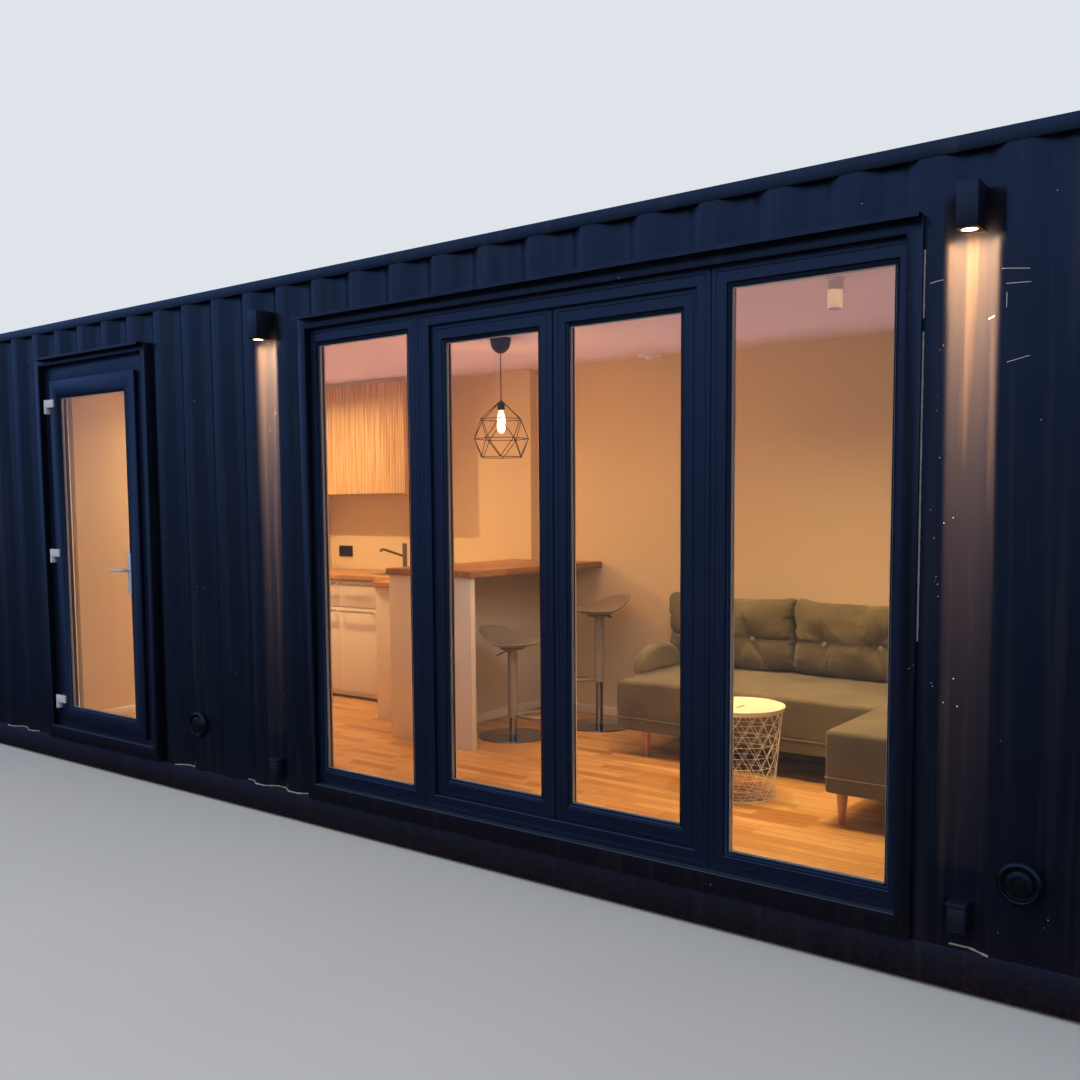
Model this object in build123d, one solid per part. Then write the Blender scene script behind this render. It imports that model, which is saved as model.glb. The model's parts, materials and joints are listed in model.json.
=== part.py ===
from build123d import *
import os
from math import atan, cos, floor, pi, radians, sin, sqrt, tan

# A forty foot high cube shipping container made into a cabin.
# X runs along the container, -Y is the front with the door and windows, +Z is up.
# The origin is under the middle of the whole outline, on the ground.

# Steel container, outer sizes in millimetres
LENGTH = 12192
WIDTH = 2438
HEIGHT = 2896
CASTING_LENGTH = 178
CASTING_WIDTH = 162
CASTING_HEIGHT = 118
CASTING_WALL = 16
CASTING_TOP_WALL = 28
APERTURE_LENGTH = 124
APERTURE_WIDTH = 63.5
SIDE_APERTURE_LENGTH = 79
SIDE_APERTURE_WIDTH = 51
SKIN_INSET = 6
POST_DEPTH = 80
POST_STEEL = 6
TOP_RAIL_WIDTH = 60
TOP_RAIL_HEIGHT = 54
TOP_RAIL_WALL = 4
TOP_RAIL_DROP = 8
BOTTOM_RAIL_LOW = 17
BOTTOM_RAIL_TOP = 160
BOTTOM_RAIL_FLANGE = 38
RAIL_STEEL = 4.5
CROSSMEMBER_HEIGHT = 122
CROSSMEMBER_FLANGE = 45
CROSSMEMBER_STEEL = 4
CROSSMEMBER_PITCH = 400

# Pressed sheet, one wave is an outer flat, a slope, an inner flat and a slope
WAVE_PITCH = 278
WAVE_SLOPE = 68
WAVE_INNER_FLAT = 70
WAVE_DEPTH = 36
SHEET = 2
ROOF_PITCH = 209
ROOF_SLOPE = 14
ROOF_FLAT_WIDTH = 90
ROOF_DEPTH = 20

# Insulated lining and floor
FRONT_WALL = 138
BACK_WALL = 86
FLOOR_TOP = 250
PLANK = 11
ROOF_BUILD_UP = 184
CEILING_GAP = 6
SEAM = 0.5
OVERCUT = 1

# Entrance door, its left edge measured from the middle of the container
DOOR_LEFT = -909
DOOR_WIDTH = 1170
DOOR_HEADER = 214
OPENING_SINK = 7
DOOR_STRIP = 100
DOOR_THRESHOLD = 20
DOOR_STILE = 112
DOOR_FRAME_RECESS = 20
DOOR_LEAF_PROUD = 5
DOOR_SURROUND = 42

# Window row: a fixed light, a double door and a fixed light
WINDOW_CENTRE = 3262
FIXED_WIDTH = 790
FRENCH_WIDTH = 1546
WINDOW_HEADER = 242
WINDOW_RECESS = 15
WINDOW_SURROUND = 55
SURROUND_LAP = 32
SURROUND_PROUD = 20
SURROUND_STEEL = 4
FRAME_MEMBER = 66
FRAME_DEPTH = 70
BEAD = 12
GLASS_BITE = 12
REBATE_WIDTH = 30
LEAF_STILE = 76
LEAF_SETBACK = 18
REBATE = 20
LIP = 15
LIP_THICK = 13
RUN_GAP = 5
KNUCKLE_GAP = 0.3
LEAF_HINGE_LOW_GAP = 86
LEAF_HINGE_TOP_GAP = 121
LEAF_FLAG = 40
LEAF_FLAG_THICK = 6
PANE = 24
FLASHING_REACH = 48
FLASHING_DROP = 14
FLASHING_STEEL = 2
SILL = 4
SILL_END_GAP = 1

# Fittings on the front
LAMP_WIDTH = 70
LAMP_HEIGHT = 147
LAMP_PROUD = 80
LAMP_DROP = 264
LAMP_LEFT_GAP = 309
LAMP_RIGHT_GAP = 179
LENS_RADIUS = 27
LENS_RECESS = 8
VENT_RADIUS = 75
VENT_DOOR_GAP = 442
VENT_WINDOW_GAP = 378
VENT_HEIGHT = 185
VENT_PROUD = 22
VENT_GROOVE_OUTER = 57
VENT_GROOVE_INNER = 47
VENT_GROOVE_DEPTH = 13
SOCKET_WIDTH = 68
SOCKET_HEIGHT = 105
SOCKET_DEPTH = 62
SOCKET_SINK = 28
SOCKET_LID = 14
SOCKET_LID_PROUD = 8
HINGE_WIDTH = 95
HINGE_HEIGHT = 50
HINGE_THICK = 12
DOOR_HINGE_LOW_GAP = 137
DOOR_HINGE_TOP_GAP = 171
BARREL_RADIUS = 9
BARREL_LENGTH = 40
HANDLE_INSET = 108
HANDLE_BELOW = 148
HANDLE_ABOVE = 105
HANDLE_PLATE = 34
HANDLE_THICK = 8
LEVER_HEIGHT = 1063
LEVER_LENGTH = 130
LEVER_RADIUS = 9
LEVER_REACH = 48

# Kitchen and bar, set out from the back wall and from the bar's back panel
KITCHEN_DEPTH = 590
PLINTH = 60
PLINTH_RECESS = 50
WORKTOP_HEIGHT = 937
WORKTOP_THICK = 37
WORKTOP_OVERHANG = 20
FRONT_PANEL = 18
UNIT_GAP = 3
DRAWER_WIDTH = 411
CORNER_UNIT = 380
TOP_DRAWER = 196
HANDLE_BAR_RADIUS = 6
HANDLE_BAR_DROP = 22
HANDLE_BAR_PROUD = 30
HANDLE_BAR_INSET = 30
HANDLE_STUD_INSET = 24
RETURN_WIDTH = 623.5
RETURN_DEPTH = 970
BAR_LEFT = 1263
BAR_WIDTH = 690
BAR_LENGTH = 1360
BAR_HEIGHT = 1063
BAR_THICK = 40
BAR_PANEL = 40
BAR_PANEL_INSET = 20
BAR_BACK_SETBACK = 154
BAR_TOP_OVERHANG = 10
WALL_CABINET_DEPTH = 350
WALL_CABINET_SETBACK = 320
SPLASHBACK = 608
RISER_WIDTH = 323
RISER_DEPTH = 78
RISER_SETBACK = 17
TAP_SETBACK = 473
TAP_WALL_GAP = 210
TAP_RADIUS = 20
TAP_HEIGHT = 232
SPOUT_HEIGHT = 125
SPOUT_REACH = 218
SPOUT_TURN = 50
SPOUT_RISE = 57
SPOUT_RADIUS = 10

# Bar stools, each as its place from the bar's outer edge and free end, its height and its turn
STOOL_PLACES = ((-43, 460, 600, 205), (187, 1060, 790, 25))
STOOL_BASE_RADIUS = 200
STOOL_BASE_THICK = 12
STOOL_TUBE_RADIUS = 20
STOOL_SLEEVE_RADIUS = 26
STOOL_SLEEVE_LENGTH = 410
STOOL_SHELL_DROP = 46
STOOL_SHELL_THICK = 10
STOOL_SHELL_RADIUS = 194
STOOL_BACK_RISE = 145
FOOTREST_REACH = 225
FOOTREST_WIDTH = 210
FOOTREST_RADIUS = 9

# Sofa and side table
SOFA_GAP = 720
SOFA_WIDTH = 2280
SOFA_DEPTH = 880
SOFA_WALL_GAP = 40
SOFA_LEG = 150
SOFA_THICK = 290
CHAISE_WIDTH = 760
CHAISE_DEPTH = 1500
ARM_WIDTH = 170
ARM_HEIGHT = 160
ARM_SETBACK = 220
ARM_PROUD = 30
CUSHION_HEIGHT = 430
CUSHION_THICK = 190
CUSHION_GAP = 8
LEG_FOOT_RADIUS = 14
LEG_TOP_RADIUS = 26
LEG_SIDE_INSET = 60
LEG_FRONT_INSET = 70
LEG_BACK_INSET = 100
LEG_ARM_INSET = 170
TABLE_SIDE_GAP = 985
TABLE_SOFA_GAP = 375
TABLE_RADIUS = 218
TABLE_BASE_RADIUS = 170
TABLE_HEIGHT = 455
TABLE_TRAY = 26
TABLE_TRAY_DEPTH = 10
TABLE_RIM = 6
TABLE_BASE_THICK = 8
TABLE_WIRE = 4
TABLE_WIRES = 12
TABLE_WIRE_TURN = 45
TABLE_WIRE_INSET = 14
TABLE_WIRE_APART = 4.5

# Ceiling fittings and the pendant over the bar
PENDANT_BAR_GAP = 147
PENDANT_END_GAP = 115
ROSE_RADIUS = 60
ROSE_NECK = 24
ROSE_HEIGHT = 90
FLEX_RADIUS = 3
FLEX_LENGTH = 264
HOLDER_RADIUS = 20
HOLDER_LENGTH = 50
BULB_RADIUS = 30
BULB_LENGTH = 122
CAGE_SIDES = 6
CAGE_TURN = 36
CAGE_WIRE = 5
CAGE_WIDE = 156
CAGE_NARROW = 129
CAGE_UPPER_DROP = 107
CAGE_MIDDLE_DROP = 218
CAGE_LOWER_DROP = 323
SPOT_SIDE_GAP = 590
SPOT_WALL_GAP = 615
SPOT_RADIUS = 32
SPOT_LENGTH = 130
VALVE_BAR_GAP = 463
VALVE_WALL_GAP = 130
VALVE_RADIUS = 76
VALVE_RIM = 10
VALVE_DISC_RADIUS = 50
VALVE_DISC_DROP = 22
PARTITION_INSET = 122
PARTITION_THICK = 75

# Numbers of sides of round pieces that repeat or are small
DISC_SIDES = 24
TUBE_SIDES = 12
PIN_SIDES = 8
HANDLE_SIDES = 6
CAGE_WIRE_SIDES = 4
WIRE_SIDES = 3

# Planes worked out from the sizes above
FRONT = -(WIDTH - LAMP_PROUD + SKIN_INSET) / 2
BACK = FRONT + WIDTH
FACE = FRONT + SKIN_INSET
BACK_FACE = BACK - SKIN_INSET
END_FACE = LENGTH / 2 - SKIN_INSET
BAY_END = LENGTH / 2 - CASTING_LENGTH
SKIN = WAVE_DEPTH + SHEET
ROOM_FRONT = FACE + FRONT_WALL
ROOM_BACK = BACK_FACE - BACK_WALL
RAIL_TOP = HEIGHT - TOP_RAIL_DROP
RAIL_LOW = RAIL_TOP - TOP_RAIL_HEIGHT
CEILING = RAIL_LOW - ROOF_BUILD_UP
BASE_TOP = FLOOR_TOP - PLANK
OPENING_LOW = FLOOR_TOP - OPENING_SINK
DOOR_RIGHT = DOOR_LEFT + DOOR_WIDTH
DOOR_HEAD = RAIL_LOW - DOOR_HEADER
WINDOW_HEAD = RAIL_LOW - WINDOW_HEADER
ROW_WIDTH = 2 * FIXED_WIDTH + FRENCH_WIDTH
WINDOW_LEFT = WINDOW_CENTRE - ROW_WIDTH / 2
WINDOW_RIGHT = WINDOW_LEFT + ROW_WIDTH
WINDOW_ROW_LEFT = WINDOW_LEFT + SURROUND_LAP
WINDOW_ROW_RIGHT = WINDOW_RIGHT - SURROUND_LAP
FRENCH_LEFT = WINDOW_LEFT + FIXED_WIDTH
FRENCH_RIGHT = FRENCH_LEFT + FRENCH_WIDTH
PARTITION_RIGHT = DOOR_LEFT + PARTITION_INSET


def block(x0, x1, y0, y1, z0, z1):
    """A plain block between two corners."""
    middle = Pos((x0 + x1) / 2, (y0 + y1) / 2, (z0 + z1) / 2)
    return middle * Box(abs(x1 - x0), abs(y1 - y0), abs(z1 - z0))


def ring(x0, x1, y0, y1, z0, z1, side, top=None, low=None):
    """A rectangular frame in the XZ plane with members of the given widths."""
    top = side if top is None else top
    low = side if low is None else low
    hole = block(x0 + side, x1 - side, y0 - OVERCUT, y1 + OVERCUT, z0 + low, z1 - top)
    return block(x0, x1, y0, y1, z0, z1) - hole


def bar(radius, start, end, sides):
    """A straight bar or disc between two points with a many sided section."""
    start = Vector(*start)
    end = Vector(*end)
    plane = Plane(origin=start, z_dir=end - start)
    return extrude(plane * RegularPolygon(radius, sides), amount=(end - start).length)


def tapered(low_radius, top_radius, x, y, low, top, sides):
    """An upright many sided piece that widens or narrows from one level to another."""
    foot = Pos(x, y, low) * RegularPolygon(low_radius, sides)
    head = Pos(x, y, top) * RegularPolygon(top_radius, sides)
    return loft([foot, head], ruled=True)


# Corrugated sheet

def wave_corners(half_length, pitch, slope, inner_flat, depth):
    """Outer corners of the folded sheet as (along, depth, side of the fold)."""
    reach = inner_flat / 2 + slope
    count = floor((half_length - reach - slope) / pitch)
    corners = []
    for step in range(-count, count + 1):
        middle = step * pitch
        corners.append((middle - reach, 0, -1))
        corners.append((middle - inner_flat / 2, depth, -1))
        corners.append((middle + inner_flat / 2, depth, 1))
        corners.append((middle + reach, 0, 1))
    return corners


def wave_profile(half_length, pitch, slope, inner_flat, depth):
    """Closed outline of the folded sheet, outer face at 0, waves going inward."""
    shift = SHEET * tan(atan(depth / slope) / 2)
    corners = wave_corners(half_length, pitch, slope, inner_flat, depth)
    outer = [(-half_length, 0)]
    inner = [(-half_length, SHEET)]
    for along, inward, fold in corners:
        outer.append((along, inward))
        inner.append((along + fold * shift, inward + SHEET))
    outer.append((half_length, 0))
    inner.append((half_length, SHEET))
    return outer + inner[::-1]


def wall_sheet(half_length, low, top):
    """An upright corrugated sheet along X with its outer face towards -Y."""
    points = wave_profile(half_length, WAVE_PITCH, WAVE_SLOPE, WAVE_INNER_FLAT, WAVE_DEPTH)
    face = make_face(Polyline(*points, close=True))
    return Pos(0, 0, low) * extrude(face, amount=top - low)


# Steel frame of the container

def aperture(length, width):
    """The outline of a casting's hole, with its ends drawn as halves of an octagon."""
    outline = Rectangle(length, width)
    return chamfer(outline.vertices(), width / (2 + sqrt(2)))


def casting():
    """One hollow corner casting with an oval hole in its top and two sides."""
    body = block(0, CASTING_LENGTH, 0, CASTING_WIDTH, 0, CASTING_HEIGHT)
    hollow = block(CASTING_WALL, CASTING_LENGTH - CASTING_WALL, CASTING_WALL,
                   CASTING_WIDTH - CASTING_WALL, CASTING_WALL, CASTING_HEIGHT - CASTING_TOP_WALL)
    middle = (CASTING_LENGTH / 2, CASTING_WIDTH / 2, CASTING_HEIGHT / 2)
    top = Plane(origin=middle)
    side = Plane(origin=middle, x_dir=(1, 0, 0), z_dir=(0, -1, 0))
    end = Plane(origin=middle, x_dir=(0, 1, 0), z_dir=(-1, 0, 0))
    side_shape = aperture(SIDE_APERTURE_LENGTH, SIDE_APERTURE_WIDTH)
    top_hole = extrude(top * aperture(APERTURE_LENGTH, APERTURE_WIDTH), amount=CASTING_HEIGHT)
    side_hole = extrude(side * side_shape, amount=CASTING_WIDTH)
    end_hole = extrude(end * side_shape, amount=CASTING_LENGTH)
    return body - hollow - top_hole - side_hole - end_hole


def in_each_corner(shape):
    """Copies of a front left piece mirrored into the four corners."""
    middle = (FRONT + BACK) / 2
    right = mirror(shape, Plane.YZ)
    pieces = [shape, right]
    back_plane = Plane(origin=(0, middle, 0), z_dir=(0, 1, 0))
    pieces += [mirror(shape, back_plane), mirror(right, back_plane)]
    return pieces


def corner_castings():
    upper = Pos(-LENGTH / 2, FRONT, HEIGHT - CASTING_HEIGHT) * casting()
    lower_flipped = mirror(casting(), Plane.XY)
    lower = Pos(-LENGTH / 2, FRONT, CASTING_HEIGHT) * lower_flipped
    return in_each_corner(upper) + in_each_corner(lower)


def corner_posts():
    """Folded steel posts, open towards the inside of the corner."""
    outer = block(-END_FACE, -BAY_END, FACE, FACE + POST_DEPTH, CASTING_HEIGHT,
                  HEIGHT - CASTING_HEIGHT)
    hollow = block(-END_FACE + POST_STEEL, -BAY_END - POST_STEEL, FACE + POST_STEEL,
                   FACE + POST_DEPTH, CASTING_HEIGHT, HEIGHT - CASTING_HEIGHT)
    return in_each_corner(outer - hollow)


def top_side_rails():
    """Square tubes along the tops of the long sides."""
    tube = block(-BAY_END, BAY_END, FACE, FACE + TOP_RAIL_WIDTH, RAIL_LOW, RAIL_TOP)
    hollow = block(-BAY_END, BAY_END, FACE + TOP_RAIL_WALL, FACE + TOP_RAIL_WIDTH - TOP_RAIL_WALL,
                   RAIL_LOW + TOP_RAIL_WALL, RAIL_TOP - TOP_RAIL_WALL)
    front = tube - hollow
    back_plane = Plane(origin=(0, (FRONT + BACK) / 2, 0), z_dir=(0, 1, 0))
    return [front, mirror(front, back_plane)]


def channel(x0, x1, y_web, flange, z0, z1, steel):
    """A channel along X with its web towards -Y and flanges inward."""
    outer = block(x0, x1, y_web, y_web + flange, z0, z1)
    hollow = block(x0, x1, y_web + steel, y_web + flange, z0 + steel, z1 - steel)
    return outer - hollow


def bottom_side_rails():
    front = channel(-BAY_END, BAY_END, FACE, BOTTOM_RAIL_FLANGE, BOTTOM_RAIL_LOW,
                    BOTTOM_RAIL_TOP, RAIL_STEEL)
    back_plane = Plane(origin=(0, (FRONT + BACK) / 2, 0), z_dir=(0, 1, 0))
    return [front, mirror(front, back_plane)]


def end_frame_rails():
    """A header and a sill at each end, between the castings."""
    pieces = []
    span = (FRONT + CASTING_WIDTH, BACK - CASTING_WIDTH)
    for low, top in ((BOTTOM_RAIL_LOW, CASTING_HEIGHT), (HEIGHT - CASTING_HEIGHT, RAIL_TOP)):
        outer = block(-END_FACE, -END_FACE + TOP_RAIL_WIDTH, span[0], span[1], low, top)
        hollow = block(-END_FACE + TOP_RAIL_WALL, -END_FACE + TOP_RAIL_WIDTH, span[0], span[1],
                       low + TOP_RAIL_WALL, top - TOP_RAIL_WALL)
        rail = outer - hollow
        pieces += [rail, mirror(rail, Plane.YZ)]
    return pieces


def floor_crossmembers():
    """Channels under the floor from side rail to side rail."""
    pieces = []
    count = floor((BAY_END - CROSSMEMBER_FLANGE) / CROSSMEMBER_PITCH)
    y0 = FACE + RAIL_STEEL
    y1 = BACK_FACE - RAIL_STEEL
    low = BOTTOM_RAIL_TOP - RAIL_STEEL - CROSSMEMBER_HEIGHT
    top = BOTTOM_RAIL_TOP - RAIL_STEEL
    for step in range(-count, count + 1):
        x0 = step * CROSSMEMBER_PITCH - CROSSMEMBER_FLANGE / 2
        x1 = x0 + CROSSMEMBER_FLANGE
        outer = block(x0, x1, y0, y1, low, top)
        hollow = block(x0 + CROSSMEMBER_STEEL, x1, y0, y1, low + CROSSMEMBER_STEEL,
                       top - CROSSMEMBER_STEEL)
        pieces.append(outer - hollow)
    return pieces


# Skins

def front_wall_panel():
    sheet = Pos(0, FACE, 0) * wall_sheet(BAY_END, BOTTOM_RAIL_TOP, RAIL_LOW)
    door = block(DOOR_LEFT - DOOR_SURROUND, DOOR_RIGHT + DOOR_SURROUND, FACE - OVERCUT,
                 FACE + SKIN + OVERCUT, BOTTOM_RAIL_TOP - OVERCUT,
                 DOOR_HEAD + DOOR_SURROUND + FLASHING_STEEL)
    windows = block(WINDOW_ROW_LEFT - WINDOW_SURROUND, WINDOW_ROW_RIGHT + WINDOW_SURROUND,
                    FACE - OVERCUT, FACE + SKIN + OVERCUT, BOTTOM_RAIL_TOP - OVERCUT,
                    WINDOW_HEAD + WINDOW_SURROUND + FLASHING_STEEL)
    return sheet - door - windows


def back_wall_panel():
    sheet = wall_sheet(BAY_END, BOTTOM_RAIL_TOP, RAIL_LOW)
    return Pos(0, BACK_FACE, 0) * Rot(0, 0, 180) * sheet


def end_wall_panels():
    half = (BACK - FRONT) / 2 - SKIN_INSET - POST_DEPTH
    sheet = wall_sheet(half, CASTING_HEIGHT, HEIGHT - CASTING_HEIGHT)
    middle = (FRONT + BACK) / 2
    left = Pos(-END_FACE, middle, 0) * Rot(0, 0, -90) * sheet
    return [left, mirror(left, Plane.YZ)]


def roof_panel():
    points = wave_profile(BAY_END, ROOF_PITCH, ROOF_SLOPE, ROOF_FLAT_WIDTH, ROOF_DEPTH)
    points = [(along, -inward) for along, inward in points]
    y0 = FACE + TOP_RAIL_WIDTH
    y1 = BACK_FACE - TOP_RAIL_WIDTH
    plane = Plane(origin=(0, y0, RAIL_TOP), x_dir=(1, 0, 0), z_dir=(0, -1, 0))
    face = make_face(Polyline(*points, close=True))
    sheet = extrude(plane * face, amount=-(y1 - y0))
    caps = [block(side * BAY_END, side * (END_FACE - TOP_RAIL_WIDTH), FRONT + CASTING_WIDTH,
                  BACK - CASTING_WIDTH, RAIL_TOP - SHEET, RAIL_TOP) for side in (-1, 1)]
    return sheet + caps


# Insulated walls

def front_bay(x0, x1, z0=BASE_TOP, z1=CEILING):
    return block(x0, x1, FACE + SKIN, ROOM_FRONT, z0, z1)


def back_wall_lining():
    return block(-BAY_END, BAY_END, ROOM_BACK, BACK_FACE - SKIN, BASE_TOP, CEILING)


def end_wall_linings():
    left = block(-END_FACE + SKIN, -BAY_END, FACE + POST_DEPTH, BACK_FACE - POST_DEPTH,
                 BASE_TOP, CEILING)
    return [left, mirror(left, Plane.YZ)]


def ceiling_lining():
    return block(-BAY_END, BAY_END, FACE + SKIN, BACK_FACE - SKIN, CEILING,
                 RAIL_LOW - CEILING_GAP)


def floor_base():
    return block(-BAY_END, BAY_END, FACE + SKIN, BACK_FACE - SKIN, BOTTOM_RAIL_TOP, BASE_TOP)


def plank_floor():
    return block(-BAY_END, BAY_END, ROOM_FRONT, ROOM_BACK, BASE_TOP, FLOOR_TOP)


def partition_wall():
    return block(PARTITION_RIGHT - PARTITION_THICK, PARTITION_RIGHT, ROOM_FRONT, ROOM_BACK,
                 FLOOR_TOP, CEILING)


# Openings in the front

def surround(x0, x1, top, width, recess):
    """A folded steel surround on three sides, hollow towards the wall, with an apron below."""
    low = BOTTOM_RAIL_TOP
    y0 = FACE - SURROUND_PROUD
    y1 = FACE + SKIN
    steel = SURROUND_STEEL
    outer = block(x0 - width, x1 + width, y0, y1, low, top + width)
    opening = block(x0, x1, y0 - OVERCUT, y1 + OVERCUT, low - OVERCUT, top)
    hollow = block(x0 - width + steel, x1 + width - steel, y0 + steel, y1 + OVERCUT, low - OVERCUT,
                   top + width - steel)
    inner_return = block(x0 - steel, x1 + steel, y0, FACE + recess - SEAM, low, top + steel)
    apron = block(x0 - width + steel, x1 + width - steel, y0, y0 + steel, low, OPENING_LOW - SILL)
    return outer - opening - (hollow - inner_return) + apron


# Window and door profiles, each a mitred section with a rebate that holds the edge of the glass

def glazing_rebate(x0, x1, y0, z0, z1):
    """The part of a profile next to the daylight opening x0 to x1, z0 to z1, swept round it."""
    section = [(REBATE_WIDTH, 0), (BEAD, 0), (0, BEAD), (GLASS_BITE, BEAD),
               (GLASS_BITE, BEAD + PANE), (0, BEAD + PANE), (0, FRAME_DEPTH - BEAD),
               (BEAD, FRAME_DEPTH), (REBATE_WIDTH, FRAME_DEPTH)]
    middle = (x0 + x1) / 2
    path = Polyline((middle, y0, z0), (x0, y0, z0), (x0, y0, z1), (x1, y0, z1), (x1, y0, z0),
                    close=True)
    plane = Plane(origin=(middle, y0, z0), x_dir=(0, 0, -1), z_dir=(1, 0, 0))
    face = plane * make_face(Polyline(*section, close=True))
    return sweep(face, path=path, transition=Transition.RIGHT)


def glazed(body, x0, x1, y0, z0, z1):
    """A solid leaf or frame opened to the daylight size and given its glazing rebate."""
    wide = REBATE_WIDTH
    hole = block(x0 - wide, x1 + wide, y0 - OVERCUT, y0 + FRAME_DEPTH + OVERCUT, z0 - wide, z1 + wide)
    return body - hole + glazing_rebate(x0, x1, y0, z0, z1)


def pane(x0, x1, y0, z0, z1):
    """An insulating glass unit that fills the rebate of a daylight opening."""
    bite = GLASS_BITE
    return block(x0 - bite, x1 + bite, y0 + BEAD, y0 + BEAD + PANE, z0 - bite, z1 + bite)


def fixed_daylight(x0, x1):
    side = FRAME_MEMBER + BEAD
    return x0 + side, x1 - side, FACE + WINDOW_RECESS, OPENING_LOW + side, WINDOW_HEAD - side


def fixed_frame(x0, x1):
    y0 = FACE + WINDOW_RECESS
    body = block(x0, x1, y0, y0 + FRAME_DEPTH, OPENING_LOW, WINDOW_HEAD)
    return glazed(body, *fixed_daylight(x0, x1))


def french_door_frame():
    """The rebated frame, with the frame halves of the leaves' hinges inside."""
    y0 = FACE + WINDOW_RECESS
    narrow = FRAME_MEMBER - REBATE
    outer = ring(FRENCH_LEFT + SEAM, FRENCH_RIGHT - SEAM, y0, y0 + BEAD, OPENING_LOW, WINDOW_HEAD,
                 FRAME_MEMBER)
    inner = ring(FRENCH_LEFT + SEAM, FRENCH_RIGHT - SEAM, y0 + BEAD, y0 + FRAME_DEPTH,
                 OPENING_LOW, WINDOW_HEAD, narrow)
    frame = outer + inner
    for level in LEAF_HINGE_LEVELS:
        barrel = bar(BARREL_RADIUS, (LEAF_HINGE_X, LEAF_HINGE_Y, level - BARREL_LENGTH),
                     (LEAF_HINGE_X, LEAF_HINGE_Y, level - KNUCKLE_GAP), PIN_SIDES)
        arm = block(LEAF_HINGE_X - BARREL_RADIUS, LEAF_HINGE_X, y0 + FRAME_DEPTH, LEAF_HINGE_Y,
                    level - BARREL_LENGTH, level - KNUCKLE_GAP)
        hinge_half = barrel + arm
        frame = frame + hinge_half + to_right_leaf(hinge_half)
    return frame


LEAF_Y = FACE + WINDOW_RECESS + LEAF_SETBACK
LEAF_EDGE = FRAME_MEMBER - REBATE + RUN_GAP
LEAF_LOW = OPENING_LOW + LEAF_EDGE
LEAF_TOP = WINDOW_HEAD - LEAF_EDGE
LEAF_LEFT = FRENCH_LEFT + LEAF_EDGE
LEAF_MEET = (FRENCH_LEFT + FRENCH_RIGHT) / 2 - RUN_GAP / 2
LEAF_SIDE = FRAME_MEMBER - LEAF_EDGE + LEAF_STILE
LEAF_DAYLIGHT = (LEAF_LEFT + LEAF_SIDE, LEAF_MEET - LEAF_STILE, LEAF_Y, LEAF_LOW + LEAF_SIDE,
                 LEAF_TOP - LEAF_SIDE)
LEAF_HINGE_X = LEAF_LEFT - LIP - BARREL_RADIUS
LEAF_HINGE_Y = LEAF_Y + FRAME_DEPTH + BARREL_RADIUS
LEAF_HINGE_LOW = LEAF_LOW + LEAF_HINGE_LOW_GAP
LEAF_HINGE_TOP = LEAF_TOP - LEAF_HINGE_TOP_GAP
LEAF_HINGE_LEVELS = (LEAF_HINGE_LOW, (LEAF_HINGE_LOW + LEAF_HINGE_TOP) / 2, LEAF_HINGE_TOP)


def left_leaf_frame():
    """The left leaf: stiles and rails with a lip that laps the frame inside."""
    inside = LEAF_Y + FRAME_DEPTH
    body = block(LEAF_LEFT, LEAF_MEET, LEAF_Y, inside, LEAF_LOW, LEAF_TOP)
    lip = block(LEAF_LEFT - LIP, LEAF_LEFT + OVERCUT, inside - LIP_THICK, inside, LEAF_LOW, LEAF_TOP)
    leaf = glazed(body, *LEAF_DAYLIGHT) + lip
    for level in LEAF_HINGE_LEVELS:
        knuckle = bar(BARREL_RADIUS, (LEAF_HINGE_X, LEAF_HINGE_Y, level),
                      (LEAF_HINGE_X, LEAF_HINGE_Y, level + BARREL_LENGTH), PIN_SIDES)
        flag = block(LEAF_HINGE_X, LEAF_HINGE_X + LEAF_FLAG, inside, inside + LEAF_FLAG_THICK,
                     level, level + BARREL_LENGTH)
        leaf = leaf + knuckle + flag
    return leaf


def to_right_leaf(shape):
    middle = (FRENCH_LEFT + FRENCH_RIGHT) / 2
    return mirror(shape, Plane(origin=(middle, 0, 0), z_dir=(1, 0, 0)))


# Entrance door, opening outward on hinges at its left

DOOR_LEAF_LEFT = DOOR_LEFT + DOOR_STRIP
DOOR_LEAF_RIGHT = DOOR_RIGHT - DOOR_STRIP
DOOR_LEAF_TOP = DOOR_HEAD - DOOR_STRIP
DOOR_LEAF_LOW = OPENING_LOW + DOOR_THRESHOLD + RUN_GAP
DOOR_LEAF_Y = FACE - DOOR_LEAF_PROUD
DOOR_DAYLIGHT = (DOOR_LEAF_LEFT + DOOR_STILE, DOOR_LEAF_RIGHT - DOOR_STILE, DOOR_LEAF_Y,
                 DOOR_LEAF_LOW + DOOR_STILE, DOOR_LEAF_TOP - DOOR_STILE)
DOOR_FRAME_Y = FACE + DOOR_FRAME_RECESS
DOOR_HINGE_X = DOOR_LEAF_LEFT - LIP - RUN_GAP - BARREL_RADIUS * 2
DOOR_HINGE_Y = DOOR_LEAF_Y - BARREL_RADIUS
DOOR_HINGE_LOW = DOOR_LEAF_LOW + DOOR_HINGE_LOW_GAP
DOOR_HINGE_TOP = DOOR_LEAF_TOP - DOOR_HINGE_TOP_GAP
DOOR_HINGE_LEVELS = (DOOR_HINGE_LOW, (DOOR_HINGE_LOW + DOOR_HINGE_TOP) / 2, DOOR_HINGE_TOP)
HANDLE_X = DOOR_LEAF_RIGHT - HANDLE_INSET
LEVER_Z = FLOOR_TOP + LEVER_HEIGHT
LEVER_ROOT_Y = DOOR_LEAF_Y - HANDLE_THICK - KNUCKLE_GAP


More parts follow.
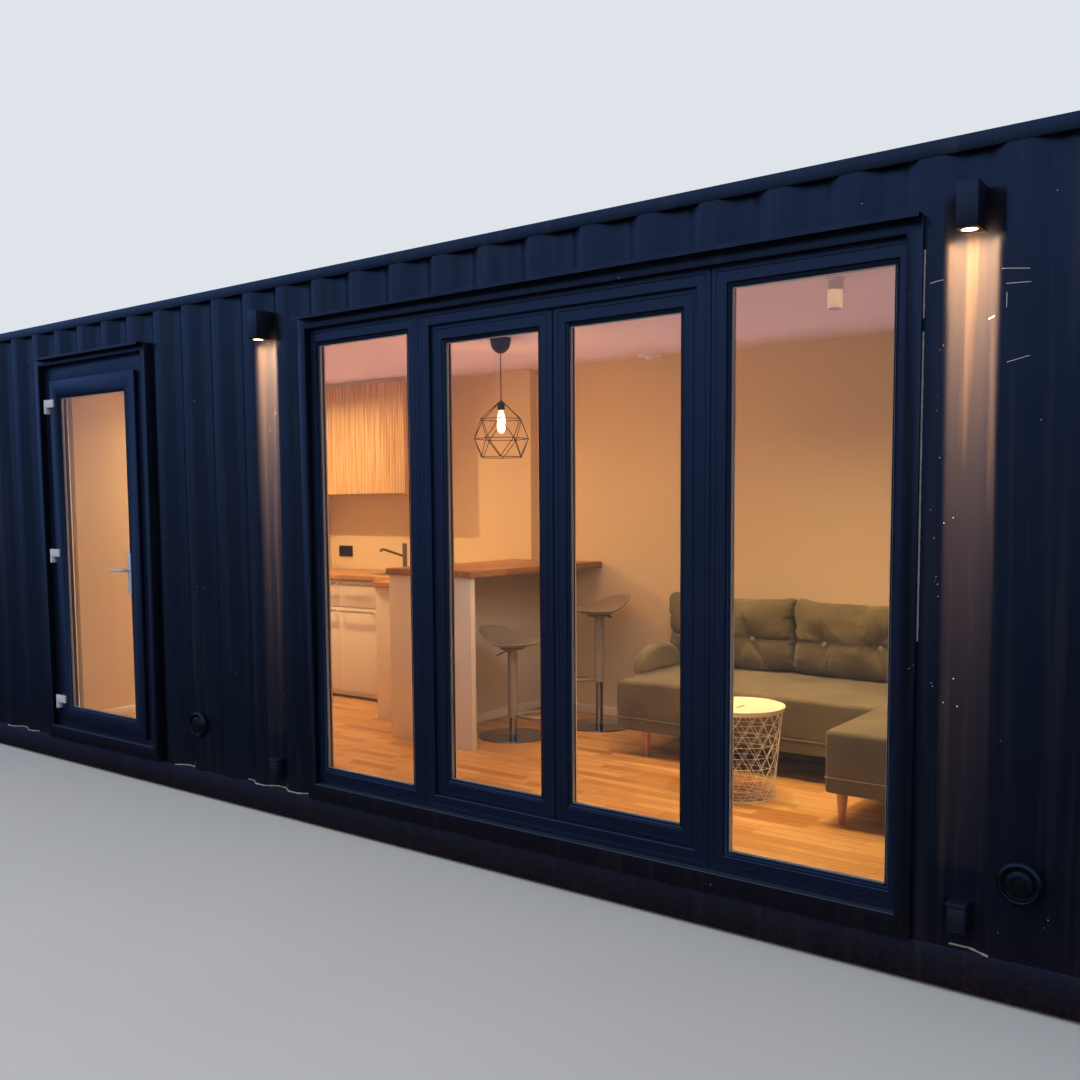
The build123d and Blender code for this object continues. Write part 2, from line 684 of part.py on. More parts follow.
def door_frame():
    """Jambs, head and threshold with a rebate that the leaf closes into."""
    y1 = DOOR_FRAME_Y + FRAME_DEPTH
    hidden = LIP + RUN_GAP
    outer = ring(DOOR_LEFT, DOOR_RIGHT, DOOR_FRAME_Y, y1, OPENING_LOW, DOOR_HEAD,
                 DOOR_STRIP + LIP, low=DOOR_THRESHOLD)
    stop = ring(DOOR_LEFT, DOOR_RIGHT, y1 - LIP, y1, OPENING_LOW, DOOR_HEAD,
                DOOR_STRIP + LIP + hidden, low=DOOR_THRESHOLD)
    return outer + stop


def door_leaf():
    """The leaf: a body inside the rebate and a lip that laps the frame outside."""
    inset = LIP + RUN_GAP
    lip = block(DOOR_LEAF_LEFT, DOOR_LEAF_RIGHT, DOOR_LEAF_Y, DOOR_LEAF_Y + LIP_THICK + RUN_GAP,
                DOOR_LEAF_LOW, DOOR_LEAF_TOP)
    body = block(DOOR_LEAF_LEFT + inset, DOOR_LEAF_RIGHT - inset, DOOR_LEAF_Y,
                 DOOR_LEAF_Y + FRAME_DEPTH, DOOR_LEAF_LOW, DOOR_LEAF_TOP - inset)
    return glazed(lip + body, *DOOR_DAYLIGHT)


def door_hinge_barrels():
    """Frame halves of the three hinges."""
    pieces = []
    for level in DOOR_HINGE_LEVELS:
        top = level - KNUCKLE_GAP
        barrel = bar(BARREL_RADIUS, (DOOR_HINGE_X, DOOR_HINGE_Y, level - BARREL_LENGTH),
                     (DOOR_HINGE_X, DOOR_HINGE_Y, top), PIN_SIDES)
        arm = block(DOOR_HINGE_X - BARREL_RADIUS, DOOR_HINGE_X + BARREL_RADIUS, DOOR_HINGE_Y,
                    DOOR_FRAME_Y, level - BARREL_LENGTH, top)
        pieces.append(barrel + arm)
    return pieces


def door_hinge_flags():
    """Leaf halves of the three hinges, each a flag plate with its knuckle."""
    pieces = []
    for level in DOOR_HINGE_LEVELS:
        knuckle = bar(BARREL_RADIUS, (DOOR_HINGE_X, DOOR_HINGE_Y, level),
                      (DOOR_HINGE_X, DOOR_HINGE_Y, level + HINGE_HEIGHT), PIN_SIDES)
        flag = block(DOOR_HINGE_X, DOOR_HINGE_X + HINGE_WIDTH, DOOR_LEAF_Y - HINGE_THICK,
                     DOOR_LEAF_Y, level, level + HINGE_HEIGHT)
        pieces.append(knuckle + flag)
    return pieces


def door_handle_plate():
    return block(HANDLE_X - HANDLE_PLATE / 2, HANDLE_X + HANDLE_PLATE / 2,
                 DOOR_LEAF_Y - HANDLE_THICK, DOOR_LEAF_Y, LEVER_Z - HANDLE_BELOW,
                 LEVER_Z + HANDLE_ABOVE)


def door_lever():
    """A neck out of the plate and a grip along the door."""
    tip_y = LEVER_ROOT_Y - LEVER_REACH
    neck = bar(LEVER_RADIUS, (HANDLE_X, LEVER_ROOT_Y, LEVER_Z), (HANDLE_X, tip_y, LEVER_Z), TUBE_SIDES)
    grip = bar(LEVER_RADIUS, (HANDLE_X + LEVER_RADIUS, tip_y, LEVER_Z),
               (HANDLE_X - LEVER_LENGTH, tip_y, LEVER_Z), TUBE_SIDES)
    return neck + grip


# Trim on the front

def drip_flashings():
    pieces = []
    y1 = FACE - SURROUND_PROUD
    for x0, x1, top in ((DOOR_LEFT - DOOR_SURROUND, DOOR_RIGHT + DOOR_SURROUND,
                         DOOR_HEAD + DOOR_SURROUND),
                        (WINDOW_ROW_LEFT - WINDOW_SURROUND, WINDOW_ROW_RIGHT + WINDOW_SURROUND,
                         WINDOW_HEAD + WINDOW_SURROUND)):
        y0 = y1 - FLASHING_REACH
        flat = block(x0, x1, y0, FACE + SKIN, top, top + FLASHING_STEEL)
        nose = block(x0, x1, y0, y0 + FLASHING_STEEL, top - FLASHING_DROP, top + FLASHING_STEEL)
        pieces.append(flat + nose)
    return pieces


def sill_strips():
    pieces = []
    for x0, x1, recess in ((WINDOW_ROW_LEFT, FRENCH_LEFT, WINDOW_RECESS),
                           (FRENCH_LEFT, FRENCH_RIGHT, WINDOW_RECESS),
                           (FRENCH_RIGHT, WINDOW_ROW_RIGHT, WINDOW_RECESS),
                           (DOOR_LEFT, DOOR_RIGHT, DOOR_FRAME_RECESS)):
        pieces.append(block(x0 + SILL_END_GAP, x1 - SILL_END_GAP, FACE - SURROUND_PROUD - SILL,
                            FACE + recess + FRAME_DEPTH, OPENING_LOW - SILL, OPENING_LOW))
    return pieces


LAMP_PLACES = (WINDOW_LEFT - LAMP_LEFT_GAP, WINDOW_RIGHT + LAMP_RIGHT_GAP)


def wall_lamps():
    """Square boxes fixed in the waves, each with a round lens let into its underside."""
    pieces = []
    low = RAIL_LOW - LAMP_DROP
    for x in LAMP_PLACES:
        body = block(x - LAMP_WIDTH / 2, x + LAMP_WIDTH / 2, FACE - LAMP_PROUD, FACE + WAVE_DEPTH,
                     low, low + LAMP_HEIGHT)
        lens_y = FACE - LAMP_PROUD + LAMP_WIDTH / 2
        well = bar(LENS_RADIUS, (x, lens_y, low - OVERCUT), (x, lens_y, low + LENS_RECESS), TUBE_SIDES)
        pieces.append(body - well)
    return pieces


def wall_vents():
    """Round covers with a groove between the rim and the middle."""
    pieces = []
    for x in (DOOR_RIGHT + VENT_DOOR_GAP, WINDOW_RIGHT + VENT_WINDOW_GAP):
        z = FLOOR_TOP + VENT_HEIGHT
        mouth = (x, FACE - VENT_PROUD, z)
        bottom = (x, FACE - VENT_PROUD + VENT_GROOVE_DEPTH, z)
        groove = bar(VENT_GROOVE_OUTER, mouth, bottom, DISC_SIDES)
        groove -= bar(VENT_GROOVE_INNER, mouth, bottom, DISC_SIDES)
        pieces.append(bar(VENT_RADIUS, (x, FACE, z), mouth, DISC_SIDES) - groove)
    return pieces


def socket_boxes():
    """Outdoor sockets under the lamps, each a box under an overhanging lid."""
    pieces = []
    low = FLOOR_TOP - SOCKET_SINK
    y1 = FACE + WAVE_DEPTH
    for x in LAMP_PLACES:
        x0 = x - SOCKET_WIDTH / 2
        x1 = x + SOCKET_WIDTH / 2
        case = block(x0, x1, y1 - SOCKET_DEPTH + SOCKET_LID_PROUD, y1, low, low + SOCKET_HEIGHT)
        lid = block(x0, x1, y1 - SOCKET_DEPTH, y1, low + SOCKET_HEIGHT - SOCKET_LID,
                    low + SOCKET_HEIGHT)
        pieces.append(case + lid)
    return pieces


# Kitchen and bar

BAR_RIGHT = BAR_LEFT + BAR_WIDTH
BAR_FRONT = ROOM_BACK - BAR_LENGTH
BAR_TOP = FLOOR_TOP + BAR_HEIGHT
BAR_BACK_X = BAR_LEFT + BAR_BACK_SETBACK
UNITS_RIGHT = BAR_BACK_X - BAR_PANEL - SEAM
UNITS_LEFT = PARTITION_RIGHT + SEAM
RETURN_LEFT = UNITS_RIGHT - RETURN_WIDTH
KITCHEN_FRONT = ROOM_BACK - KITCHEN_DEPTH
RETURN_FRONT = ROOM_BACK - RETURN_DEPTH
WORKTOP_TOP = FLOOR_TOP + WORKTOP_HEIGHT
UNITS_TOP = WORKTOP_TOP - WORKTOP_THICK
DRAWER_RIGHT = RETURN_LEFT - CORNER_UNIT
DRAWER_LEFT = DRAWER_RIGHT - UNIT_GAP - DRAWER_WIDTH


def unit_handle(x0, x1, top):
    """A bar handle on two studs, near the top edge of a front."""
    y = KITCHEN_FRONT - HANDLE_BAR_PROUD
    z = top - HANDLE_BAR_DROP
    handle = bar(HANDLE_BAR_RADIUS, (x0 + HANDLE_BAR_INSET, y, z), (x1 - HANDLE_BAR_INSET, y, z),
                 HANDLE_SIDES)
    stud = HANDLE_BAR_INSET + HANDLE_STUD_INSET
    half = HANDLE_BAR_RADIUS / 2
    for x in (x0 + stud, x1 - stud):
        handle += block(x - half, x + half, y, KITCHEN_FRONT, z - half, z + half)
    return handle


def kitchen_units():
    """A run with four columns of drawers over a set back plinth, and a return beside it."""
    wall = ROOM_BACK - SEAM
    low = FLOOR_TOP + PLINTH
    run = block(UNITS_LEFT, RETURN_LEFT, KITCHEN_FRONT + FRONT_PANEL, wall, low, UNITS_TOP)
    plinth = block(UNITS_LEFT, RETURN_LEFT, KITCHEN_FRONT + PLINTH_RECESS, wall, FLOOR_TOP, low)
    side = block(RETURN_LEFT, UNITS_RIGHT, RETURN_FRONT, wall, FLOOR_TOP, UNITS_TOP)
    body = run + plinth + side
    column = (DRAWER_LEFT - UNITS_LEFT) / 2
    edges = (UNITS_LEFT, UNITS_LEFT + column, DRAWER_LEFT, DRAWER_RIGHT, RETURN_LEFT)
    drawer_low = UNITS_TOP - TOP_DRAWER
    for x0, x1 in zip(edges, edges[1:]):
        for z0, z1 in ((low, drawer_low - UNIT_GAP), (drawer_low, UNITS_TOP - UNIT_GAP)):
            body += block(x0, x1 - UNIT_GAP, KITCHEN_FRONT, KITCHEN_FRONT + FRONT_PANEL, z0, z1)
            body += unit_handle(x0, x1 - UNIT_GAP, z1)
    return body


def kitchen_worktop():
    wall = ROOM_BACK - SEAM
    run = block(UNITS_LEFT, RETURN_LEFT, KITCHEN_FRONT - WORKTOP_OVERHANG, wall, UNITS_TOP, WORKTOP_TOP)
    side = block(RETURN_LEFT - WORKTOP_OVERHANG, UNITS_RIGHT, RETURN_FRONT - WORKTOP_OVERHANG, wall,
                 UNITS_TOP, WORKTOP_TOP)
    return run + side


def kitchen_tap():
    """An upright column with a slanting spout that ends over the sink."""
    x = RETURN_LEFT - TAP_SETBACK
    y = ROOM_BACK - TAP_WALL_GAP
    root = WORKTOP_TOP + SPOUT_HEIGHT
    column = bar(TAP_RADIUS, (x, y, WORKTOP_TOP), (x, y, WORKTOP_TOP + TAP_HEIGHT), TUBE_SIDES)
    tip = (x - SPOUT_REACH, y - SPOUT_TURN, root + SPOUT_RISE)
    spout = bar(SPOUT_RADIUS, (x, y, root), tip, PIN_SIDES)
    return column + spout


def wall_cabinet():
    return block(UNITS_LEFT, RETURN_LEFT - WALL_CABINET_SETBACK, ROOM_BACK - WALL_CABINET_DEPTH,
                 ROOM_BACK - SEAM, WORKTOP_TOP + SPLASHBACK, CEILING - SEAM)


def service_riser():
    """Boxed in pipes that rise from the bar top to the ceiling, in front of the back wall."""
    right = BAR_BACK_X - RISER_SETBACK
    return block(right - RISER_WIDTH, right, ROOM_BACK - RISER_DEPTH, ROOM_BACK - SEAM,
                 BAR_TOP + SEAM, CEILING - SEAM)


def bar_panels():
    """A panel across the free end and one along the back, under the bar top."""
    y0 = BAR_FRONT + BAR_PANEL_INSET
    top = BAR_TOP - BAR_THICK
    end = block(BAR_LEFT, BAR_RIGHT - BAR_PANEL_INSET, y0, y0 + BAR_PANEL, FLOOR_TOP, top)
    back = block(BAR_BACK_X - BAR_PANEL, BAR_BACK_X, y0 + BAR_PANEL, ROOM_BACK - SEAM, FLOOR_TOP, top)
    return end + back


def bar_worktop():
    return block(BAR_LEFT - BAR_TOP_OVERHANG, BAR_RIGHT, BAR_FRONT, ROOM_BACK - SEAM,
                 BAR_TOP - BAR_THICK, BAR_TOP)


def stool_shell():
    """A round seat whose back half bends up, with its middle over the origin."""
    places = (-STOOL_SHELL_RADIUS, 0, STOOL_SHELL_RADIUS / 4, STOOL_SHELL_RADIUS / 2,
              STOOL_SHELL_RADIUS * 3 / 4, STOOL_SHELL_RADIUS)
    upper = [(x, STOOL_BACK_RISE * (max(x, 0) / STOOL_SHELL_RADIUS) ** 2) for x in places]
    lower = [(x, z - STOOL_SHELL_THICK) for x, z in upper]
    band = Plane.XZ * make_face(Polyline(*upper, *lower[::-1], close=True))
    bent = extrude(band, amount=STOOL_SHELL_RADIUS, both=True)
    low = (0, 0, -STOOL_BACK_RISE)
    return bent & bar(STOOL_SHELL_RADIUS, low, (0, 0, 2 * STOOL_BACK_RISE), DISC_SIDES)


def footrest(sleeve_low):
    """A loop out of the foot of the sleeve, square at its far corners."""
    z = sleeve_low + FOOTREST_RADIUS
    half = FOOTREST_WIDTH / 2
    near = STOOL_SLEEVE_RADIUS / 2
    points = [(0, near, z), (-FOOTREST_REACH / 2, half, z), (-FOOTREST_REACH, half / 2, z),
              (-FOOTREST_REACH, -half / 2, z), (-FOOTREST_REACH / 2, -half, z), (0, -near, z)]
    path = Polyline(*points)
    start = Plane(origin=points[0], z_dir=Vector(*points[1]) - Vector(*points[0]))
    section = start * RegularPolygon(FOOTREST_RADIUS, HANDLE_SIDES)
    return sweep(section, path=path, transition=Transition.RIGHT)


def bar_stools():
    pieces = []
    for along, in_from_end, height, turn in STOOL_PLACES:
        seat = height - STOOL_SHELL_DROP
        sleeve_low = seat - STOOL_SLEEVE_LENGTH
        stool = bar(STOOL_BASE_RADIUS, (0, 0, 0), (0, 0, STOOL_BASE_THICK), DISC_SIDES)
        stool += bar(STOOL_TUBE_RADIUS, (0, 0, 0), (0, 0, sleeve_low + STOOL_BASE_THICK), TUBE_SIDES)
        stool += bar(STOOL_SLEEVE_RADIUS, (0, 0, sleeve_low), (0, 0, seat), TUBE_SIDES)
        stool += Pos(0, 0, seat + STOOL_SHELL_THICK / 2) * stool_shell()
        stool += footrest(sleeve_low)
        place = Pos(BAR_RIGHT + along, BAR_FRONT + in_from_end, FLOOR_TOP)
        pieces.append(place * Rot(0, 0, turn) * stool)
    return pieces


# Sofa and table

SOFA_LEFT = BAR_RIGHT + SOFA_GAP
SOFA_RIGHT = SOFA_LEFT + SOFA_WIDTH
SOFA_BACK = ROOM_BACK - SOFA_WALL_GAP
SOFA_FRONT = SOFA_BACK - SOFA_DEPTH
CHAISE_LEFT = SOFA_RIGHT - CHAISE_WIDTH
CHAISE_FRONT = SOFA_BACK - CHAISE_DEPTH
SOFA_LOW = FLOOR_TOP + SOFA_LEG
SOFA_SEAT = SOFA_LOW + SOFA_THICK
TABLE_X = SOFA_LEFT + TABLE_SIDE_GAP
TABLE_Y = SOFA_FRONT - TABLE_SOFA_GAP
TABLE_TOP = FLOOR_TOP + TABLE_HEIGHT


def sofa_body():
    seat = block(SOFA_LEFT, SOFA_RIGHT, SOFA_FRONT, SOFA_BACK, SOFA_LOW, SOFA_SEAT)
    chaise = block(CHAISE_LEFT, SOFA_RIGHT, CHAISE_FRONT, SOFA_FRONT, SOFA_LOW, SOFA_SEAT)
    return seat + chaise


def sofa_arm():
    low = SOFA_SEAT + SEAM
    return block(SOFA_LEFT - ARM_PROUD, SOFA_LEFT - ARM_PROUD + ARM_WIDTH, SOFA_FRONT + ARM_SETBACK,
                 SOFA_BACK, low, SOFA_SEAT + ARM_HEIGHT)


def sofa_back_cushions():
    """Three loose cushions, the first one narrower because the arm stands beside it."""
    pieces = []
    low = SOFA_SEAT + SEAM
    seat_left = SOFA_LEFT - ARM_PROUD + ARM_WIDTH
    edges = [seat_left]
    edges += [SOFA_LEFT + SOFA_WIDTH / 3, SOFA_LEFT + 2 * SOFA_WIDTH / 3, SOFA_RIGHT]
    for x0, x1 in zip(edges, edges[1:]):
        pieces.append(block(x0 + CUSHION_GAP / 2, x1 - CUSHION_GAP / 2, SOFA_BACK - CUSHION_THICK,
                            SOFA_BACK, low, SOFA_SEAT + CUSHION_HEIGHT))
    return pieces


def sofa_legs():
    """Legs that widen upwards."""
    pieces = []
    for x, y in ((SOFA_LEFT + LEG_ARM_INSET, SOFA_FRONT + LEG_SIDE_INSET),
                 (SOFA_LEFT + LEG_ARM_INSET, SOFA_BACK - LEG_BACK_INSET),
                 (CHAISE_LEFT + LEG_SIDE_INSET, CHAISE_FRONT + LEG_FRONT_INSET),
                 (SOFA_RIGHT - LEG_SIDE_INSET, CHAISE_FRONT + LEG_FRONT_INSET),
                 (SOFA_RIGHT - LEG_SIDE_INSET, SOFA_BACK - LEG_BACK_INSET)):
        pieces.append(tapered(LEG_FOOT_RADIUS, LEG_TOP_RADIUS, x, y, FLOOR_TOP, SOFA_LOW, PIN_SIDES))
    return pieces


def side_table():
    """A tray on a basket of crossing wires that widens upwards from a flat base."""
    tray_low = TABLE_TOP - TABLE_TRAY
    base_top = FLOOR_TOP + TABLE_BASE_THICK
    tray = bar(TABLE_RADIUS, (TABLE_X, TABLE_Y, tray_low), (TABLE_X, TABLE_Y, TABLE_TOP), DISC_SIDES)
    tray -= bar(TABLE_RADIUS - TABLE_RIM, (TABLE_X, TABLE_Y, TABLE_TOP - TABLE_TRAY_DEPTH),
                (TABLE_X, TABLE_Y, TABLE_TOP + OVERCUT), DISC_SIDES)
    base = bar(TABLE_BASE_RADIUS, (TABLE_X, TABLE_Y, FLOOR_TOP), (TABLE_X, TABLE_Y, base_top), DISC_SIDES)
    between = block(TABLE_X - TABLE_RADIUS, TABLE_X + TABLE_RADIUS, TABLE_Y - TABLE_RADIUS,
                    TABLE_Y + TABLE_RADIUS, base_top + SEAM, tray_low - SEAM)
    pieces = [tray, base]
    for step in range(TABLE_WIRES):
        for lean, shift in ((1, 0), (-1, TABLE_WIRE_APART)):
            low_angle = 2 * pi * step / TABLE_WIRES
            top_angle = low_angle + lean * radians(TABLE_WIRE_TURN)
            low_radius = TABLE_BASE_RADIUS - TABLE_WIRE - shift
            top_radius = TABLE_RADIUS - TABLE_WIRE_INSET - shift
            low = (TABLE_X + low_radius * cos(low_angle), TABLE_Y + low_radius * sin(low_angle), FLOOR_TOP)
            top = (TABLE_X + top_radius * cos(top_angle), TABLE_Y + top_radius * sin(top_angle), TABLE_TOP)
            wire = bar(TABLE_WIRE / 2, low, top, WIRE_SIDES)
            pieces.append(wire & between)
    return pieces


# Fittings on the ceiling

PENDANT_X = BAR_RIGHT + PENDANT_BAR_GAP
PENDANT_Y = BAR_FRONT + PENDANT_END_GAP
ROSE_LOW = CEILING - ROSE_HEIGHT
CAGE_TOP = ROSE_LOW - FLEX_LENGTH


def ceiling_fittings():
    """The pendant's rose, a tube spot over the sofa and a round air valve by the back wall."""
    rose = tapered(ROSE_NECK, ROSE_RADIUS, PENDANT_X, PENDANT_Y, ROSE_LOW, CEILING, DISC_SIDES)
    spot_x = WINDOW_RIGHT - SPOT_SIDE_GAP
    spot_y = ROOM_FRONT + SPOT_WALL_GAP
    spot = bar(SPOT_RADIUS, (spot_x, spot_y, CEILING), (spot_x, spot_y, CEILING - SPOT_LENGTH), DISC_SIDES)
    x = BAR_RIGHT + VALVE_BAR_GAP
    y = ROOM_BACK - VALVE_WALL_GAP
    valve = bar(VALVE_RADIUS, (x, y, CEILING), (x, y, CEILING - VALVE_RIM), DISC_SIDES)
    valve += bar(VALVE_DISC_RADIUS, (x, y, CEILING), (x, y, CEILING - VALVE_DISC_DROP), DISC_SIDES)
    return [rose, spot, valve]


def pendant_flex():
    return bar(FLEX_RADIUS, (PENDANT_X, PENDANT_Y, CAGE_TOP), (PENDANT_X, PENDANT_Y, ROSE_LOW), PIN_SIDES)


def cage_corners(radius, drop, part_step):
    """The corners of one ring of the cage, turned by a part of the step between corners."""
    step = 2 * pi / CAGE_SIDES
    angles = [radians(CAGE_TURN) + (side + part_step) * step for side in range(CAGE_SIDES)]
    return [(PENDANT_X + radius * cos(a), PENDANT_Y + radius * sin(a), CAGE_TOP - drop) for a in angles]


def closed_wire(corners):
    """One bent wire through the corners and back to the first, mitred at each."""
    start = (Vector(*corners[0]) + Vector(*corners[1])) / 2
    path = Polyline(start, *corners[1:], corners[0], close=True)
    plane = Plane(origin=start, z_dir=Vector(*corners[1]) - start)
    section = plane * RegularPolygon(CAGE_WIRE / 2, CAGE_WIRE_SIDES)
    return sweep(section, path=path, transition=Transition.RIGHT)


def pendant_cage():
    """The lamp holder and bulb in a faceted wire cage: three rings joined by zigzag wires."""
    bulb_top = CAGE_TOP - HOLDER_LENGTH
    holder = bar(HOLDER_RADIUS, (PENDANT_X, PENDANT_Y, CAGE_TOP), (PENDANT_X, PENDANT_Y, bulb_top),
                 TUBE_SIDES)
    bulb = bar(BULB_RADIUS, (PENDANT_X, PENDANT_Y, bulb_top),
               (PENDANT_X, PENDANT_Y, bulb_top - BULB_LENGTH), TUBE_SIDES)
    neck = (PENDANT_X, PENDANT_Y, CAGE_TOP - HOLDER_LENGTH / 2)
    upper = cage_corners(CAGE_NARROW, CAGE_UPPER_DROP, 0.5)
    middle = cage_corners(CAGE_WIDE, CAGE_MIDDLE_DROP, 0)
    lower = cage_corners(CAGE_NARROW, CAGE_LOWER_DROP, 0.5)
    wires = [closed_wire(corners) for corners in (upper, middle, lower)]
    for corners in (upper, lower):
        zigzag = [point for pair in zip(middle, corners) for point in pair]
        wires.append(closed_wire(zigzag))
    for corner in upper:
        wires.append(bar(CAGE_WIRE / 2, neck, corner, WIRE_SIDES))
    return holder.fuse(bulb, *wires)


FIXED_LIGHTS = ((WINDOW_LEFT, FRENCH_LEFT), (FRENCH_RIGHT, WINDOW_RIGHT))

NODES = {
    "corner_castings": corner_castings(),
    "corner_posts": corner_posts(),
    "top_side_rails": top_side_rails(),
    "bottom_side_rails": bottom_side_rails(),
    "end_frame_rails": end_frame_rails(),
    "floor_crossmembers": floor_crossmembers(),
    "front_wall_panel": front_wall_panel(),
    "back_wall_panel": back_wall_panel(),
    "end_wall_panels": end_wall_panels(),
    "roof_panel": roof_panel(),
    "front_wall_left_bay": front_bay(-BAY_END, DOOR_LEFT),
    "front_wall_over_door": front_bay(DOOR_LEFT, DOOR_RIGHT, DOOR_HEAD),
    "front_wall_middle_bay": front_bay(DOOR_RIGHT, WINDOW_LEFT),
    "front_wall_over_windows": front_bay(WINDOW_LEFT, WINDOW_RIGHT, WINDOW_HEAD),
    "front_wall_right_bay": front_bay(WINDOW_RIGHT, BAY_END),
    "back_wall_lining": back_wall_lining(),
    "end_wall_linings": end_wall_linings(),
    "ceiling_lining": ceiling_lining(),
    "floor_base": floor_base(),
    "plank_floor": plank_floor(),
    "partition_wall": partition_wall(),
    "door_surround": surround(DOOR_LEFT, DOOR_RIGHT, DOOR_HEAD, DOOR_SURROUND, DOOR_FRAME_RECESS),
    "window_surround": surround(WINDOW_ROW_LEFT, WINDOW_ROW_RIGHT, WINDOW_HEAD, WINDOW_SURROUND,
                                WINDOW_RECESS),
    "door_frame": door_frame(),
    "fixed_window_frames": [fixed_frame(*edges) for edges in FIXED_LIGHTS],
    "fixed_window_panes": [pane(*fixed_daylight(*edges)) for edges in FIXED_LIGHTS],
    "french_door_frame": french_door_frame(),
    "left_leaf_frame": left_leaf_frame(),
    "left_leaf_pane": pane(*LEAF_DAYLIGHT),
    "right_leaf_frame": to_right_leaf(left_leaf_frame()),
    "right_leaf_pane": to_right_leaf(pane(*LEAF_DAYLIGHT)),
    "door_leaf": door_leaf(),
    "door_pane": pane(*DOOR_DAYLIGHT),
    "door_hinge_barrels": door_hinge_barrels(),
    "door_hinge_flags": door_hinge_flags(),
    "door_handle_plate": door_handle_plate(),
    "door_lever": door_lever(),
    "drip_flashings": drip_flashings(),
    "sill_strips": sill_strips(),
    "wall_lamps": wall_lamps(),
    "wall_vents": wall_vents(),
    "socket_boxes": socket_boxes(),
    "ceiling_fittings": ceiling_fittings(),
    "pendant_flex": pendant_flex(),
    "pendant_cage": pendant_cage(),
    "kitchen_units": kitchen_units(),
    "kitchen_worktop": kitchen_worktop(),
    "kitchen_tap": kitchen_tap(),
    "wall_cabinet": wall_cabinet(),
    "service_riser": service_riser(),
    "bar_panels": bar_panels(),
    "bar_worktop": bar_worktop(),
    "bar_stools": bar_stools(),
    "sofa_body": sofa_body(),
    "sofa_arm": sofa_arm(),
    "sofa_back_cushions": sofa_back_cushions(),
    "sofa_legs": sofa_legs(),
    "side_table": side_table(),
}

os.makedirs("parts", exist_ok=True)
for name, shape in NODES.items():
    solids = shape if isinstance(shape, list) else [shape]
    whole = solids[0] if len(solids) == 1 else Compound(children=solids)
    export_step(whole, f"parts/{name}.step")
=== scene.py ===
import json
from math import cos, pi, radians, sin
import bmesh
import bpy
from mathutils import Matrix, Vector, noise

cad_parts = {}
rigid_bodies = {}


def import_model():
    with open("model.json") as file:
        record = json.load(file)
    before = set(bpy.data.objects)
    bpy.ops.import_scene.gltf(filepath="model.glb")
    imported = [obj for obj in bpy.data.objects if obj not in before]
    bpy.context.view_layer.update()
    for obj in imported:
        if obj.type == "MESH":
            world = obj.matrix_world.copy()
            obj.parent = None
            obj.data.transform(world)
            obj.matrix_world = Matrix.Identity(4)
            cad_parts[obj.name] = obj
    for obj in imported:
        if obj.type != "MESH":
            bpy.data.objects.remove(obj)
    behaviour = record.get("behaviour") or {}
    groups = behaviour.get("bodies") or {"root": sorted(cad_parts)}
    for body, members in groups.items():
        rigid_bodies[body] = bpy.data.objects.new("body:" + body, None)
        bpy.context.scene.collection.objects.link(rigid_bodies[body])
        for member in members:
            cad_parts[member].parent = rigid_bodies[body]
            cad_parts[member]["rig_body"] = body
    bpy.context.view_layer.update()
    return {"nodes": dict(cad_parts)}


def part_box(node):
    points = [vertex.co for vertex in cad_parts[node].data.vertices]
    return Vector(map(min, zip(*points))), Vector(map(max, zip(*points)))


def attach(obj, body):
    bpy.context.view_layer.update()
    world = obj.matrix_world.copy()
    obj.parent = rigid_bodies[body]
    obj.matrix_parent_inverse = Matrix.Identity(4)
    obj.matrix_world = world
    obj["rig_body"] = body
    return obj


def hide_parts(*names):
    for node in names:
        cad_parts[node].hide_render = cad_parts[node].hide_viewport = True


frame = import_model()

# The camera stands where the photograph was taken: six metres out, at eye height, turned left.
# Its small shift puts the picture's centre where the photograph has it.
EYE = (5.9908, -4.7921, 1.6813)
TURN, DIP, LEAN = 0.6312, 0.0762, -0.0054
camera_data = bpy.data.cameras.new("camera")
camera_data.sensor_width, camera_data.lens = 36, 35
camera_data.shift_x, camera_data.shift_y = -0.0232, 0.0442
camera_data.clip_start, camera_data.clip_end = 0.05, 200
camera = bpy.data.objects.new("camera", camera_data)
camera.matrix_world = (Matrix.Translation(EYE) @ Matrix.Rotation(TURN, 4, "Z")
                       @ Matrix.Rotation(pi / 2 - DIP, 4, "X") @ Matrix.Rotation(LEAN, 4, "Z"))
bpy.context.scene.collection.objects.link(camera)
bpy.context.scene.camera = camera
bpy.context.scene.view_settings.view_transform = "Standard"
bpy.context.scene.cycles.use_denoising = True


# The studio: a pale floor that runs out to a pale sky, and one large soft lamp high in front.
# Lamps under the ceiling light the room, because glass keeps most of the daylight out of it.
def linear(text):
    """An sRGB hex colour as the linear colour that a socket takes."""
    parts = [int(text[place:place + 2], 16) / 255 for place in (1, 3, 5)]
    return [p / 12.92 if p <= 0.04045 else ((p + 0.055) / 1.055) ** 2.4 for p in parts] + [1]


def feed(node, values):
    """Gives each input its value or its link. A node stands for its first output in use."""
    for socket, value in values.items():
        if isinstance(value, bpy.types.Node):
            value = next(output for output in value.outputs if output.enabled)
        if isinstance(value, bpy.types.NodeSocket):
            node.id_data.links.new(value, node.inputs[socket])
        else:
            node.inputs[socket].default_value = value


def add(tree, kind, values={}, **settings):
    """Adds one node with its settings and inputs. A Mix node's colours are its inputs 6 and 7."""
    made = tree.nodes.new(kind if "Node" in kind else "ShaderNode" + kind)
    for name, value in settings.items():
        setattr(made, name, value)
    feed(made, values)
    return made


def empty_tree(owner):
    """Turns nodes on for a world, lamp or material and clears them."""
    owner.use_nodes = True
    owner.node_tree.nodes.clear()
    return owner.node_tree


